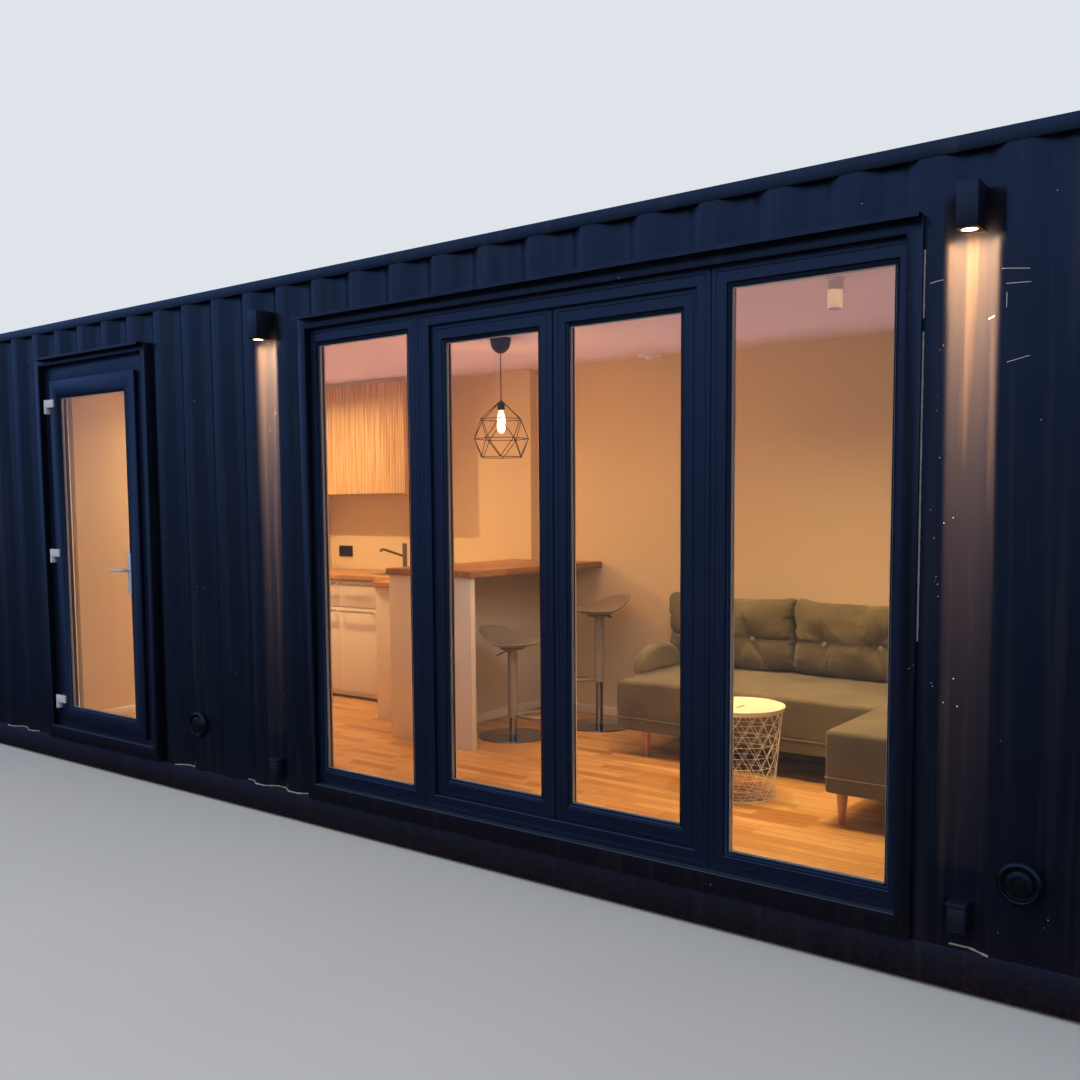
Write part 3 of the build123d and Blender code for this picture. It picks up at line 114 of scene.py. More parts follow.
def new_material(name):
    """An empty material: its tree, its main shader joined to the output, its Object coordinates."""
    made = bpy.data.materials.new(name)
    tree = empty_tree(made)
    shader = add(tree, "BsdfPrincipled")
    add(tree, "OutputMaterial", {"Surface": shader})
    return made, tree, shader, add(tree, "TexCoord").outputs["Object"]


world = bpy.data.worlds.new("studio_sky")
bpy.context.scene.world = world
tree = empty_tree(world)
path = add(tree, "LightPath").outputs
seen = add(tree, "Math", {0: path["Is Transmission Ray"], 1: 0.45, 2: path["Is Camera Ray"]},
           operation="MULTIPLY_ADD")
heading = add(tree, "SeparateXYZ", {0: add(tree, "TexCoord").outputs["Generated"]})
dusk = add(tree, "MapRange", {"Value": heading.outputs["Z"], "From Min": -0.22, "From Max": 0.45,
                              "To Min": 0.02, "To Max": 2.0}, interpolation_type="SMOOTHSTEP")
level = add(tree, "Mix", {0: path["Is Glossy Ray"], 2: 0.62, 3: dusk}, data_type="FLOAT")
tint = add(tree, "Mix", {0: path["Is Glossy Ray"], 6: linear("#c9d4e4"), 7: linear("#6389d2")},
           data_type="RGBA")
light = add(tree, "Background", {"Color": tint, "Strength": level})
backdrop = add(tree, "Background", {"Color": linear("#dfe4ea"), "Strength": 1.0})
add(tree, "OutputWorld", {"Surface": add(tree, "MixShader", {0: seen, 1: light, 2: backdrop})})

FLOOR_REACH = 60
floor_mesh = bpy.data.meshes.new("studio_floor")
floor_mesh.from_pydata([(x * FLOOR_REACH, y * FLOOR_REACH, 0)
                        for x, y in ((-1, -1), (1, -1), (1, 1), (-1, 1))], [], [(0, 1, 2, 3)])
floor = bpy.data.objects.new("studio_floor", floor_mesh)
bpy.context.scene.collection.objects.link(floor)
floor_paint, tree, shader, place = new_material("pale_studio_floor")
mottle = add(tree, "TexNoise", {"Vector": place, "Scale": 1.5})
tone = add(tree, "Mix", {0: mottle, 6: linear("#dcdddc"), 7: linear("#e1e2e1")}, data_type="RGBA")
feed(shader, {"Base Color": tone, "Roughness": 0.9, "Specular IOR Level": 0.1})
floor_mesh.materials.append(floor_paint)
floor.visible_glossy = False


def unseen(lamp_object):
    """Lights the object without showing in the picture, in gloss or through glass."""
    lamp_object.visible_camera = lamp_object.visible_glossy = False
    lamp_object.visible_transmission = False
    bpy.context.scene.collection.objects.link(lamp_object)


def soft_lamp(name, place, aim, width, depth, watts, colour, spread=180):
    """A rectangular lamp that lights the object and isn't seen itself."""
    data = bpy.data.lights.new(name, "AREA")
    data.shape = "RECTANGLE"
    data.size, data.size_y, data.energy = width, depth, watts
    data.spread = radians(spread)
    data.color = linear(colour)[:3]
    lamp = bpy.data.objects.new(name, data)
    turn = Vector(aim).to_track_quat("-Z", "Y").to_matrix().to_4x4()
    lamp.matrix_world = Matrix.Translation(place) @ turn
    unseen(lamp)
    return data


DOWN = (0, 0, -1)
LAMPS = (
    ("sky_softbox", (2.0, -9.0, 7.0), (-0.1, 8.0, -5.2), 9, 5, 420, "#fff6ea", 180),
    ("kitchen_light", (0.30, 0.1, 2.6), DOWN, 1.6, 1.2, 12, "#ffc890", 130),
    ("middle_light", (2.1, 0.1, 2.6), DOWN, 1.4, 1.2, 6, "#ffc890", 130),
    ("sofa_light", (3.9, 0.1, 2.6), DOWN, 1.6, 1.2, 22, "#ffc890", 105),
    ("seat_light", (3.6, 0.62, 2.6), DOWN, 1.7, 0.25, 9, "#ffd49c", 42),
    ("bar_spot", (-0.50, 0.02, 2.56), (2.5, 0.9, -1.35), 0.04, 0.04, 3.7, "#ffcb90", 60),
    ("door_light", (-0.3, -0.6, 2.6), DOWN, 0.7, 0.6, 2.4, "#ffc890", 130),
    ("spot_light", (4.235, -0.423, 2.46), DOWN, 0.06, 0.06, 13, "#ffdca2", 110),
    ("bar_fill", (3.4, -0.7, 2.0), (-2.0, 1.2, -1.3), 0.6, 0.6, 1.5, "#ffe6cc", 60),
    ("dusk_on_ceiling", (2.6, 0.1, 2.32), (0, 0, 1), 6.0, 1.7, 9, "#b4b0ff", 130),
    ("far_kitchen_spot", (-0.52, 0.02, 2.56), (0.15, 0.05, -1), 0.05, 0.05, 26, "#ffcf96", 160))
for lamp in LAMPS:
    soft_lamp(*lamp)


# The pendant: a thin PVC flex that hangs straight from the ceiling, a lamp holder with a glowing
# tube bulb, and around it a cage of soldered steel wire, bronzed dark.
def finish(shader, colour, gloss, rough, height, depth, strength=0.5):
    """Joins a colour, a roughness that follows a pattern, and a fine relief to the main shader."""
    tree = shader.id_data
    worn = add(tree, "MapRange", {"Value": gloss, "To Min": rough[0], "To Max": rough[1]})
    relief = add(tree, "Bump", {"Height": height, "Distance": depth, "Strength": strength})
    feed(shader, {"Base Color": colour, "Roughness": worn, "Normal": relief})


def coated(name, dark, light, patch, rough, grain, depth, metallic=0.0, specular=0.5):
    """A coated or moulded surface: two near tones in patches, and a fine grain you can feel."""
    made, tree, shader, place = new_material(name)
    cloud = add(tree, "TexNoise", {"Vector": place, "Scale": 1 / patch, "Detail": 4.0})
    tone = add(tree, "Mix", {0: cloud, 6: linear(dark), 7: linear(light)}, data_type="RGBA")
    fine = add(tree, "TexNoise", {"Vector": place, "Scale": 1 / grain, "Detail": 2.0})
    finish(shader, tone, cloud, (rough - 0.06, rough + 0.06), fine, depth, 0.6)
    feed(shader, {"Metallic": metallic, "Specular IOR Level": specular})
    return made


def to_mesh(bm, name):
    """Turns the working mesh into a finished one with its faces outwards."""
    bmesh.ops.remove_doubles(bm, verts=bm.verts, dist=1e-6)
    bmesh.ops.recalc_face_normals(bm, faces=bm.faces)
    mesh = bpy.data.meshes.new(name)
    bm.to_mesh(mesh)
    bm.free()
    return mesh


def put(name, shape, surface, body="cabin", replaced=(), smooth=35):
    """Makes the object of a working or finished mesh, shades it and says what it rides on."""
    mesh = to_mesh(shape, name) if isinstance(shape, bmesh.types.BMesh) else shape
    piece = bpy.data.objects.new(name, mesh)
    bpy.context.scene.collection.objects.link(piece)
    mesh.materials.clear()
    mesh.materials.append(surface)
    if smooth:
        mesh.shade_smooth()
        mesh.set_sharp_from_angle(angle=radians(smooth))
    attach(piece, body)
    if replaced:
        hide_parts(*replaced)
    return piece


def around(radius, angle, level=0.0):
    """The point at a radius and an angle about Z."""
    return Vector((radius * cos(angle), radius * sin(angle), level))


def turned(bm, profile, matrix, steps=32):
    """Turns a profile of (radius, height) about the Z of a matrix, closed at radius 0."""
    rows = []
    for radius, height in profile:
        count = steps if radius else 1
        rows.append([bm.verts.new(matrix @ around(radius, 2 * pi * k / steps, height))
                     for k in range(count)])
    for low, high in zip(rows, rows[1:]):
        for k in range(steps):
            n = (k + 1) % steps
            corners = [low[k % len(low)], low[n % len(low)],
                       high[n % len(high)], high[k % len(high)]]
            corners = list(dict.fromkeys(corners))
            if len(corners) > 2:
                bm.faces.new(corners)


def wire(bm, start, end, radius, sides=6):
    """A straight wire between two points, with closed ends."""
    run = Vector(end) - Vector(start)
    matrix = Matrix.Translation(start) @ run.to_track_quat("Z", "Y").to_matrix().to_4x4()
    turned(bm, [(0, 0), (radius, 0), (radius, run.length), (0, run.length)], matrix, sides)


def glowing(name, colour, strength, rough=0.3):
    """A lit lamp surface, with faint clouds of a paler tone."""
    made, tree, shader, place = new_material(name)
    cloud = add(tree, "TexNoise", {"Vector": place, "Scale": 40.0})
    tone = add(tree, "Mix", {0: cloud, 6: linear(colour), 7: linear("#fff3d8")}, data_type="RGBA")
    feed(shader, {"Base Color": tone, "Emission Color": tone, "Emission Strength": strength,
                  "Roughness": rough})
    return made


def new_curve(name, points, radius):
    """A smooth curve through the space of its points, as thick as a tube."""
    curve = bpy.data.curves.new(name, "CURVE")
    curve.dimensions = "3D"
    curve.bevel_depth, curve.bevel_resolution = radius, 3
    curve.use_fill_caps = True
    run = curve.splines.new("NURBS")
    run.points.add(len(points) - 1)
    for point, place in zip(run.points, points):
        point.co = (*place, 1)
    run.order_u = 3
    run.use_endpoint_u = True
    return curve


black_plastic = coated("moulded_black_abs", "#14161b", "#1b1e25", 0.05, 0.42, 0.0008, 0.0001)
flex_low, flex_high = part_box("pendant_flex")
pendant_x, pendant_y = (flex_low.x + flex_high.x) / 2, (flex_low.y + flex_high.y) / 2
drop = flex_low.z - flex_high.z
flex = bpy.data.objects.new("pendant_flex_cord", new_curve(
    "pendant_flex_curve", [(pendant_x, pendant_y, flex_high.z + share * drop)
                           for share in (0, 0.3, 0.7, 1)], 0.003))
bpy.context.scene.collection.objects.link(flex)
flex.data.materials.append(black_plastic)
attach(flex, "cabin")
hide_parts("pendant_flex")

CAGE_RINGS = ((0.129, 2.189, 0.5), (0.156, 2.078, 0), (0.129, 1.973, 0.5))
CAGE_TURN, CAGE_WIRE = radians(36), 0.0022
bronzed_wire = coated("bronzed_steel_wire", "#1f1410", "#3a241a", 0.03, 0.38, 0.001, 0.0001, 0.85)
bm = bmesh.new()
middle = Vector((pendant_x, pendant_y, 0))
rings = [[middle + around(radius, CAGE_TURN + pi / 3 * (k + half), level) for k in range(6)]
         for radius, level, half in CAGE_RINGS]
neck = middle + Vector((0, 0, flex_low.z - 0.014))
for k in range(6):
    away = rings[0][k] - Vector((pendant_x, pendant_y, rings[0][k].z))
    wire(bm, neck + away * 0.15, rings[0][k], CAGE_WIRE)
    for ring in rings:
        wire(bm, ring[k], ring[(k + 1) % 6], CAGE_WIRE)
    for outer in (rings[0], rings[2]):
        wire(bm, rings[1][k], outer[k], CAGE_WIRE)
        wire(bm, rings[1][k], outer[(k - 1) % 6], CAGE_WIRE)
put("pendant_wire_cage", bm, bronzed_wire, replaced=["pendant_cage"])
hang = Matrix.Translation((pendant_x, pendant_y, flex_low.z))
bm = bmesh.new()
turned(bm, [(0, 0), (0.008, 0), (0.012, -0.006), (0.021, -0.012), (0.022, -0.05), (0.019, -0.055),
            (0, -0.055)], hang, 24)
holder = put("pendant_lamp_holder", bm, black_plastic)
bm = bmesh.new()
turned(bm, [(0.013, -0.054), (0.014, -0.066), (0.020, -0.084), (0.024, -0.105), (0.024, -0.158),
            (0.018, -0.176), (0.008, -0.184), (0, -0.186)], hang, 24)
put("pendant_bulb", bm, glowing("lit_opal_glass", "#ffb84e", 3.6))
glow = bpy.data.lights.new("pendant_glow", "POINT")
glow.energy, glow.shadow_soft_size, glow.color = 11.5, 0.02, linear("#ffb26b")[:3]
glow_object = bpy.data.objects.new("pendant_glow", glow)
glow_object.location = (pendant_x, pendant_y, flex_low.z - 0.21)
unseen(glow_object)


# The ceiling fittings: the pendant's bell rose, a white tube spot over the sofa and a round air
# valve by the back wall. All three are moulded or sprayed, and screwed up against the boards.
white_plastic = coated("moulded_white_abs", "#e4e0d8", "#efece6", 0.08, 0.4, 0.001, 0.0001)
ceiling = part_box("ceiling_lining")[0].z
for name, x, y, surface, slot, replaced, profile in (
        ("pendant_ceiling_rose", pendant_x, pendant_y, black_plastic, "black_fitting",
         ["ceiling_fittings"],
         [(0, 0), (0.060, 0), (0.061, -0.006), (0.058, -0.03), (0.050, -0.056), (0.034, -0.076),
          (0.014, -0.087), (0, -0.089)]),
        ("ceiling_spot", 4.235, -0.423, white_plastic, "white_fitting", [],
         [(0, 0), (0.040, 0), (0.040, -0.008), (0.032, -0.010), (0.032, -0.128), (0.030, -0.130),
          (0.026, -0.130), (0.025, -0.116), (0, -0.114)]),
        ("ceiling_air_valve", 2.416, 1.034, white_plastic, "white_fitting", [],
         [(0, -0.030), (0.030, -0.028), (0.036, -0.022), (0.038, -0.012), (0.048, -0.010),
          (0.060, -0.014), (0.072, -0.010), (0.076, -0.002), (0.076, 0), (0, 0)])):
    bm = bmesh.new()
    turned(bm, profile, Matrix.Translation((x, y, ceiling)))
    put(name, bm, surface, replaced=replaced)


# The steel frame: cast corner blocks, folded posts, square and channel rails and floor members.
# All of it is welded and sprayed with a satin blue-black paint that collects dust and a little rust
# low down, where the ground splashes it.
def scratched(tree, place, split, colour):
    """Bare marks in the paint: chips in rare patches and down one edge, and some long scratches."""
    chip = add(tree, "TexVoronoi", {"Vector": place, "Scale": 42.0})
    few = add(tree, "TexNoise", {"Vector": place, "Scale": 6.0, "Detail": 1.0})
    small = add(tree, "Math", {0: chip, 1: 0.075}, operation="LESS_THAN")
    rare = add(tree, "Math", {0: few, 1: 0.66}, operation="GREATER_THAN")
    beside_the_windows = add(tree, "Math", {0: split["X"], 1: 4.903, 2: 0.02}, operation="COMPARE")
    at_breast_height = add(tree, "Math", {0: split["Z"], 1: 1.85, 2: 0.5}, operation="COMPARE")
    worn = add(tree, "Math", {0: beside_the_windows, 1: at_breast_height}, operation="MULTIPLY")
    patches = add(tree, "Math", {0: rare, 1: worn}, operation="MAXIMUM")
    marks = add(tree, "Math", {0: small, 1: patches}, operation="MULTIPLY")
    for axis, other, low, high, level, slope in SCRATCHES:
        line = add(tree, "Math", {0: split[axis], 1: slope, 2: level - slope * low},
                   operation="MULTIPLY_ADD")
        near = add(tree, "Math", {0: split[other], 1: line, 2: 0.0009}, operation="COMPARE")
        within = add(tree, "Math", {0: split[axis], 1: (low + high) / 2, 2: (high - low) / 2},
                     operation="COMPARE")
        scratch = add(tree, "Math", {0: near, 1: within}, operation="MULTIPLY")
        marks = add(tree, "Math", {0: marks, 1: scratch}, operation="MAXIMUM")
    return add(tree, "Mix", {0: marks, 6: colour, 7: linear("#c4baac")}, data_type="RGBA")


def steel_paint(name, dark, light, rough, marked=False):
    """Satin paint on steel: orange peel, faint run-off streaks, and rusty dust low down."""
    made, tree, shader, place = new_material(name)
    split = add(tree, "SeparateXYZ", {0: place}).outputs
    cloud = add(tree, "TexNoise", {"Vector": place, "Scale": 1.3, "Detail": 5.0})
    tone = add(tree, "Mix", {0: cloud, 6: linear(dark), 7: linear(light)}, data_type="RGBA")
    stretch = add(tree, "Mapping", {"Vector": place, "Scale": (26, 26, 0.9)})
    streak = add(tree, "TexNoise", {"Vector": stretch, "Scale": 1.0, "Detail": 3.0})
    dusty = add(tree, "MapRange", {"Value": streak, "From Min": 0.52, "From Max": 0.8,
                                   "To Max": 0.22})
    dust = add(tree, "Mix", {0: dusty, 6: tone, 7: linear("#3c3a38")}, data_type="RGBA")
    low = add(tree, "MapRange", {"Value": split["Z"], "From Min": 0.34, "From Max": 0.04,
                                 "To Max": 1.0})
    spots = add(tree, "TexNoise", {"Vector": place, "Scale": 55.0, "Detail": 6.0})
    spot = add(tree, "MapRange", {"Value": spots, "From Min": 0.5, "From Max": 0.7,
                                  "To Min": 0.25})
    rusty = add(tree, "Math", {0: low, 1: spot}, operation="MULTIPLY")
    colour = add(tree, "Mix", {0: rusty, 6: dust, 7: linear("#2c1712")}, data_type="RGBA")
    if marked:
        colour = scratched(tree, place, split, colour)
    peel = add(tree, "TexNoise", {"Vector": place, "Scale": 420.0, "Detail": 1.0})
    dent = add(tree, "TexNoise", {"Vector": place, "Scale": 5.0, "Detail": 1.0})
    height = add(tree, "Math", {0: dent, 1: 14.0, 2: peel}, operation="MULTIPLY_ADD")
    finish(shader, colour, cloud, (rough - 0.07, rough + 0.07), height, 0.00012, 0.7)
    return made


def softened(node, surface, radius, steps=2, least=60, most=180):
    """A merged copy of a CAD node with its edges rounded, which then stands for the node."""
    bm = bmesh.new()
    bm.from_mesh(frame["nodes"][node].data)
    bmesh.ops.remove_doubles(bm, verts=bm.verts, dist=1e-5)
    bmesh.ops.dissolve_limit(bm, angle_limit=radians(1), verts=bm.verts, edges=bm.edges)
    sharp = [edge for edge in bm.edges if len(edge.link_faces) == 2
             and radians(least) < edge.calc_face_angle() < radians(most)]
    bmesh.ops.bevel(bm, geom=sharp, offset=radius, segments=steps, profile=0.5, affect="EDGES",
                    clamp_overlap=True)
    mesh = bpy.data.meshes.new(node + "_finished")
    bm.to_mesh(mesh)
    bm.free()
    body = frame["nodes"][node]["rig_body"]
    return put(node + "_finished", mesh, surface, body, [node])


black_steel = steel_paint("satin_painted_steel", "#090c15", "#0c111d", 0.36)
# The bottom rails and floor members get a darker, rougher and less blue copy of the same paint.
rail_steel = steel_paint("darker_low_rail_steel", "#09090d", "#0f0f15", 0.5)
for node, surface, radius in (
        ("corner_castings", black_steel, 0.006), ("corner_posts", black_steel, 0.005),
        ("top_side_rails", black_steel, 0.005), ("end_frame_rails", black_steel, 0.004),
        ("bottom_side_rails", rail_steel, 0.004), ("floor_crossmembers", rail_steel, 0.003)):
    softened(node, surface, radius)

# The pressed skins: 2 mm sheet folded into a trapezoid wave in a press, so that every fold has a
# rounded bend. The front sheet is cut open for the door and the windows. Each scratch runs along
# one axis from low to high, starts at a level on the other axis, and climbs by a slope.
SCRATCHES = (("X", "Z", 5.110, 5.185, 2.392, -0.04), ("X", "Z", 4.868, 4.910, 2.423, 0.17),
             ("X", "Z", 5.096, 5.181, 2.442, -0.13), ("Z", "X", 2.317, 2.365, 5.1135, 0.0),
             ("X", "Z", 5.119, 5.188, 2.142, 0.23), ("X", "Z", 5.052, 5.072, 2.290, 0.3))
skin_steel = steel_paint("satin_painted_sheet", "#090c15", "#0c111d", 0.34, marked=True)
for node, surface in (("front_wall_panel", skin_steel), ("back_wall_panel", black_steel),
                      ("end_wall_panels", black_steel)):
    softened(node, surface, 0.010, 3, 20, 40)
softened("roof_panel", black_steel, 0.004, 2, 20, 70)


# The lining: painted boards on studs in front of the insulation, filled and rolled, which leaves a
# fine stipple. The ceiling is the same board, and the floor base is plywood.
def rolled_paint(name, dark, light):
    """Matt wall paint put on with a roller: a stipple of about 3 mm and faint clouding."""
    made, tree, shader, place = new_material(name)
    cloud = add(tree, "TexNoise", {"Vector": place, "Scale": 1.1, "Detail": 3.0})
    tone = add(tree, "Mix", {0: cloud, 6: linear(dark), 7: linear(light)}, data_type="RGBA")
    stipple = add(tree, "TexNoise", {"Vector": place, "Scale": 330.0, "Detail": 2.0})
    finish(shader, tone, stipple, (0.72, 0.88), stipple, 0.0004)
    feed(shader, {"Specular IOR Level": 0.3})
    return made


def refinish(node, surface):
    """Gives a CAD node that keeps its own shape its real finish."""
    mesh = frame["nodes"][node].data
    mesh.materials.clear()
    mesh.materials.append(surface)


wall_paint = rolled_paint("rolled_matt_emulsion", "#e2cda4", "#e8d5b0")
for node in ("front_wall_left_bay", "front_wall_over_door", "front_wall_middle_bay",
             "front_wall_over_windows", "front_wall_right_bay", "back_wall_lining",
             "end_wall_linings", "partition_wall", "service_riser"):
    refinish(node, wall_paint)
refinish("ceiling_lining", rolled_paint("rolled_ceiling_white", "#ead9c4", "#f0e2cf"))
refinish("floor_base", coated("film_faced_plywood", "#4a3323", "#5c4230", 0.3, 0.6, 0.002, 0.0002))


# The floor: oak strip boards 11 mm thick, each of three rows of short staves, laid along the room
# and lacquered. The staves differ in tone, and their joints are fine dark lines.
def staved_oak(name, tones, stave, width, rough, turn=0):
    """Wood in rows of glued staves, with straight pores inside each stave."""
    made, tree, shader, place = new_material(name)
    laid = add(tree, "Mapping", {"Vector": place, "Rotation": (0, 0, turn)})
    brick = add(tree, "TexBrick",
                {"Vector": laid, "Color1": (0, 0, 0, 1), "Color2": (1, 1, 1, 1),
                 "Mortar": (0.5, 0.5, 0.5, 1), "Scale": 1.0, "Mortar Size": 0.0009,
                 "Mortar Smooth": 0.2, "Brick Width": stave, "Row Height": width},
                offset=0.37, offset_frequency=2, squash=0.72, squash_frequency=3)
    along = add(tree, "Mapping", {"Vector": laid, "Scale": (2.2, 60, 60)})
    grain = add(tree, "TexNoise", {"Vector": along, "Scale": 1.0, "Detail": 6.0,
                                   "Roughness": 0.65})
    ramp = add(tree, "ValToRGB", {"Fac": brick.outputs["Color"]})
    ramp.color_ramp.elements[0].color = linear(tones[0])
    ramp.color_ramp.elements[1].color = linear(tones[2])
    ramp.color_ramp.elements.new(0.5).color = linear(tones[1])
    veined = add(tree, "MapRange", {"Value": grain, "From Min": 0.35, "From Max": 0.72,
                                    "To Max": 0.58})
    figure = add(tree, "Mix", {0: veined, 6: ramp, 7: linear(tones[3])}, data_type="RGBA")
    joint = add(tree, "Mix", {0: brick.outputs["Fac"], 6: figure, 7: linear("#5b3a20")},
                data_type="RGBA")
    height = add(tree, "Math", {0: brick.outputs["Fac"], 1: -1.5, 2: grain},
                 operation="MULTIPLY_ADD")
    finish(shader, joint, grain, (rough - 0.05, rough + 0.08), height, 0.0003)
    return made


oak_strip = staved_oak("lacquered_oak_strip", ("#cf9850", "#e9ba78", "#bb7f3e", "#7d4a20"),
                       0.46, 0.066, 0.34)
refinish("plank_floor", oak_strip)


# Skirting: a white board 60 mm high at the foot of the back wall and of the partition. It is planed
# wood, painted, with its edges eased, and fixed flat against the boards.
def slab(bm, low, high, edge=0.002, steps=2):
    """A block between two corners with its edges rounded."""
    middle = (Vector(low) + Vector(high)) / 2
    size = Vector(high) - Vector(low)
    matrix = Matrix.Translation(middle) @ Matrix.Diagonal((*size, 1))
    made = bmesh.ops.create_cube(bm, size=1, matrix=matrix)["verts"]
    if edge:
        edges = list(dict.fromkeys(e for v in made for e in v.link_edges))
        bmesh.ops.bevel(bm, geom=edges, offset=edge, segments=steps, profile=0.5, affect="EDGES")


def slabs(name, surface, slot, *blocks, replaced=()):
    """A piece made of blocks, each (low corner, high corner, edge radius)."""
    bm = bmesh.new()
    for low, high, edge in blocks:
        slab(bm, low, high, edge)
    return put(name, bm, surface, replaced=replaced)


boards_low, boards_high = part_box("plank_floor")
floor_top, room_front, room_back = boards_high.z, boards_low.y, boards_high.y
skirting_top = floor_top + 0.06
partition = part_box("partition_wall")[1].x
board_white = coated("painted_white_board", "#e9e2d6", "#f0eade", 0.3, 0.45, 0.002, 0.0002)
slabs("white_skirting_boards", board_white, "white_board",
      ((1.425, room_back - 0.014, floor_top), (5.9, room_back - 0.0005, skirting_top), 0.003),
      ((partition + 0.0005, room_front + 0.001, floor_top),
       (partition + 0.014, room_back - 0.62, skirting_top), 0.003))


# The folded steel surrounds of the door and of the window row, with a drip flashing over each.
# They are the same painted sheet as the skin, welded on over the cut edges of the wave.
for node in ("door_surround", "window_surround"):
    softened(node, skin_steel, 0.0015)
softened("drip_flashings", black_steel, 0.0008, 1)


# The window units: extruded PVC profile, mitred and welded at the corners, with a dark foil outside
# and its own white inside. The foil has a very fine ribbed grain along each member.
def foiled_pvc(name, behind):
    """Dark foil in front of a plane in Y, and plain white PVC behind it."""
    made, tree, shader, place = new_material(name)
    depth = add(tree, "SeparateXYZ", {0: place}).outputs["Y"]
    cloud = add(tree, "TexNoise", {"Vector": place, "Scale": 2.0, "Detail": 3.0})
    foil = add(tree, "Mix", {0: cloud, 6: linear("#0c1222"), 7: linear("#111a30")},
               data_type="RGBA")
    inside = add(tree, "Math", {0: depth, 1: behind}, operation="GREATER_THAN")
    tone = add(tree, "Mix", {0: inside, 6: foil, 7: linear("#e9e5dc")}, data_type="RGBA")
    grain = add(tree, "TexNoise", {"Vector": place, "Scale": 600.0, "Detail": 2.0})
    finish(shader, tone, cloud, (0.3, 0.42), grain, 0.0001, 0.6)
    return made


def framed(bm, low, high, widths, profile, face=0.0):
    """A mitred frame: (part of the member's width, depth behind its face) round four corners."""
    left, right, bottom, top = widths
    rows = []
    for x, z, across, up in ((low[0], low[1], left, bottom), (high[0], low[1], -right, bottom),
                             (high[0], high[1], -right, -top), (low[0], high[1], left, -top)):
        rows.append([bm.verts.new((x + part * across, face + y, z + part * up))
                     for part, y in profile])
    for here, there in zip(rows, rows[1:] + rows[:1]):
        for k in range(len(profile)):
            n = (k + 1) % len(profile)
            bm.faces.new((here[k], there[k], there[n], here[n]))


GLASS_BITE = 0.012


def daylight(node):
    """The corners of a pane that show, without the edge that sits in the rebate."""
    low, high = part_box(node)
    bite = Vector((GLASS_BITE, 0, GLASS_BITE))
    return low + bite, high - bite


wall_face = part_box("front_wall_panel")[0].y
fixed_low, fixed_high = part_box("fixed_window_frames")
french_low, french_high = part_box("french_door_frame")
glass_low, glass_high = daylight("fixed_window_panes")
front = fixed_low.y
FIXED_WIDTH, FIXED_MEMBER, FRENCH_MEMBER = 0.790, 0.078, 0.066
HINGE_LEVELS, HINGE_INSET = (0.380, 1.4, 2.42), 0.027
unit_pvc = foiled_pvc("foiled_window_pvc", front + 0.052)
units = ((fixed_low.x, fixed_low.x + FIXED_WIDTH), (fixed_high.x - FIXED_WIDTH, fixed_high.x))
bm = bmesh.new()
for left, right in units:
    framed(bm, (left, fixed_low.z), (right, fixed_high.z), [FIXED_MEMBER] * 4,
           [(0, 0.004), (0.05, 0), (0.26, 0), (0.28, 0.002), (0.30, 0), (0.80, 0), (0.845, 0.003),
            (0.86, 0.010), (0.88, 0.007), (0.97, 0.010), (1, 0.0135), (1, 0.060), (0.80, 0.070),
            (0, 0.070)], front)
put("fixed_window_profiles", bm, unit_pvc, replaced=["fixed_window_frames"])
bm = bmesh.new()
framed(bm, (french_low.x, fixed_low.z), (french_high.x, fixed_high.z), [FRENCH_MEMBER] * 4,
       [(0, 0.004), (0.06, 0), (0.30, 0), (0.33, 0.002), (0.36, 0), (0.93, 0), (1, 0.004),
        (1, 0.012), (0.70, 0.012), (0.70, 0.070), (0, 0.070)], front)
for level in HINGE_LEVELS:
    for x in (french_low.x + HINGE_INSET, french_high.x - HINGE_INSET):
        turned(bm, [(0, 0), (0.008, 0), (0.009, 0.001), (0.009, 0.0387), (0.008, 0.0397),
                    (0, 0.0397)], Matrix.Translation((x, front + 0.097, level - 0.04)), 20)
put("double_door_frame_profile", bm, unit_pvc,
    replaced=["french_door_frame"])

# The two leaves: deeper welded profile that sits back in the frame, with a rubber seal all round.
LEAF_EDGE = 0.0505
leaf_pvc = foiled_pvc("foiled_leaf_pvc", front + 0.072)
leaf_face = front + 0.018
for side in ("left", "right"):
    node_low, node_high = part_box(side + "_leaf_frame")
    pane_low, pane_high = daylight(side + "_leaf_pane")
    if side == "left":
        edge, hinge_x = french_low.x + LEAF_EDGE, french_low.x + HINGE_INSET
        low_x, high_x = edge, node_high.x
        lip, flag = (node_low.x, edge), (hinge_x, hinge_x + 0.04)
    else:
        edge, hinge_x = french_high.x - LEAF_EDGE, french_high.x - HINGE_INSET
        low_x, high_x = node_low.x, edge
        lip, flag = (edge, node_high.x), (hinge_x - 0.04, hinge_x)
    bm = bmesh.new()
    framed(bm, (low_x, node_low.z), (high_x, node_high.z),
           (pane_low.x - low_x, high_x - pane_high.x, pane_low.z - node_low.z,
            node_high.z - pane_high.z),
           [(0, 0.003), (0.04, 0), (0.34, 0), (0.36, 0.002), (0.38, 0), (0.84, 0), (0.87, 0.003),
            (0.88, 0.009), (0.90, 0.006), (0.97, 0.009), (1, 0.0115), (1, 0.060), (0.84, 0.070),
            (0, 0.070)], leaf_face)
    slab(bm, (lip[0], leaf_face + 0.057, node_low.z), (lip[1], leaf_face + 0.070, node_high.z))
    for level in HINGE_LEVELS:
        turned(bm, [(0, 0), (0.008, 0), (0.009, 0.001), (0.009, 0.039), (0.008, 0.040), (0, 0.040)],
               Matrix.Translation((hinge_x, leaf_face + 0.079, level)), 20)
        slab(bm, (flag[0], leaf_face + 0.070, level), (flag[1], leaf_face + 0.076, level + 0.04),
             0.0015)
    put(side + "_leaf_profile", bm, leaf_pvc, side + "_leaf",
        [side + "_leaf_frame"])


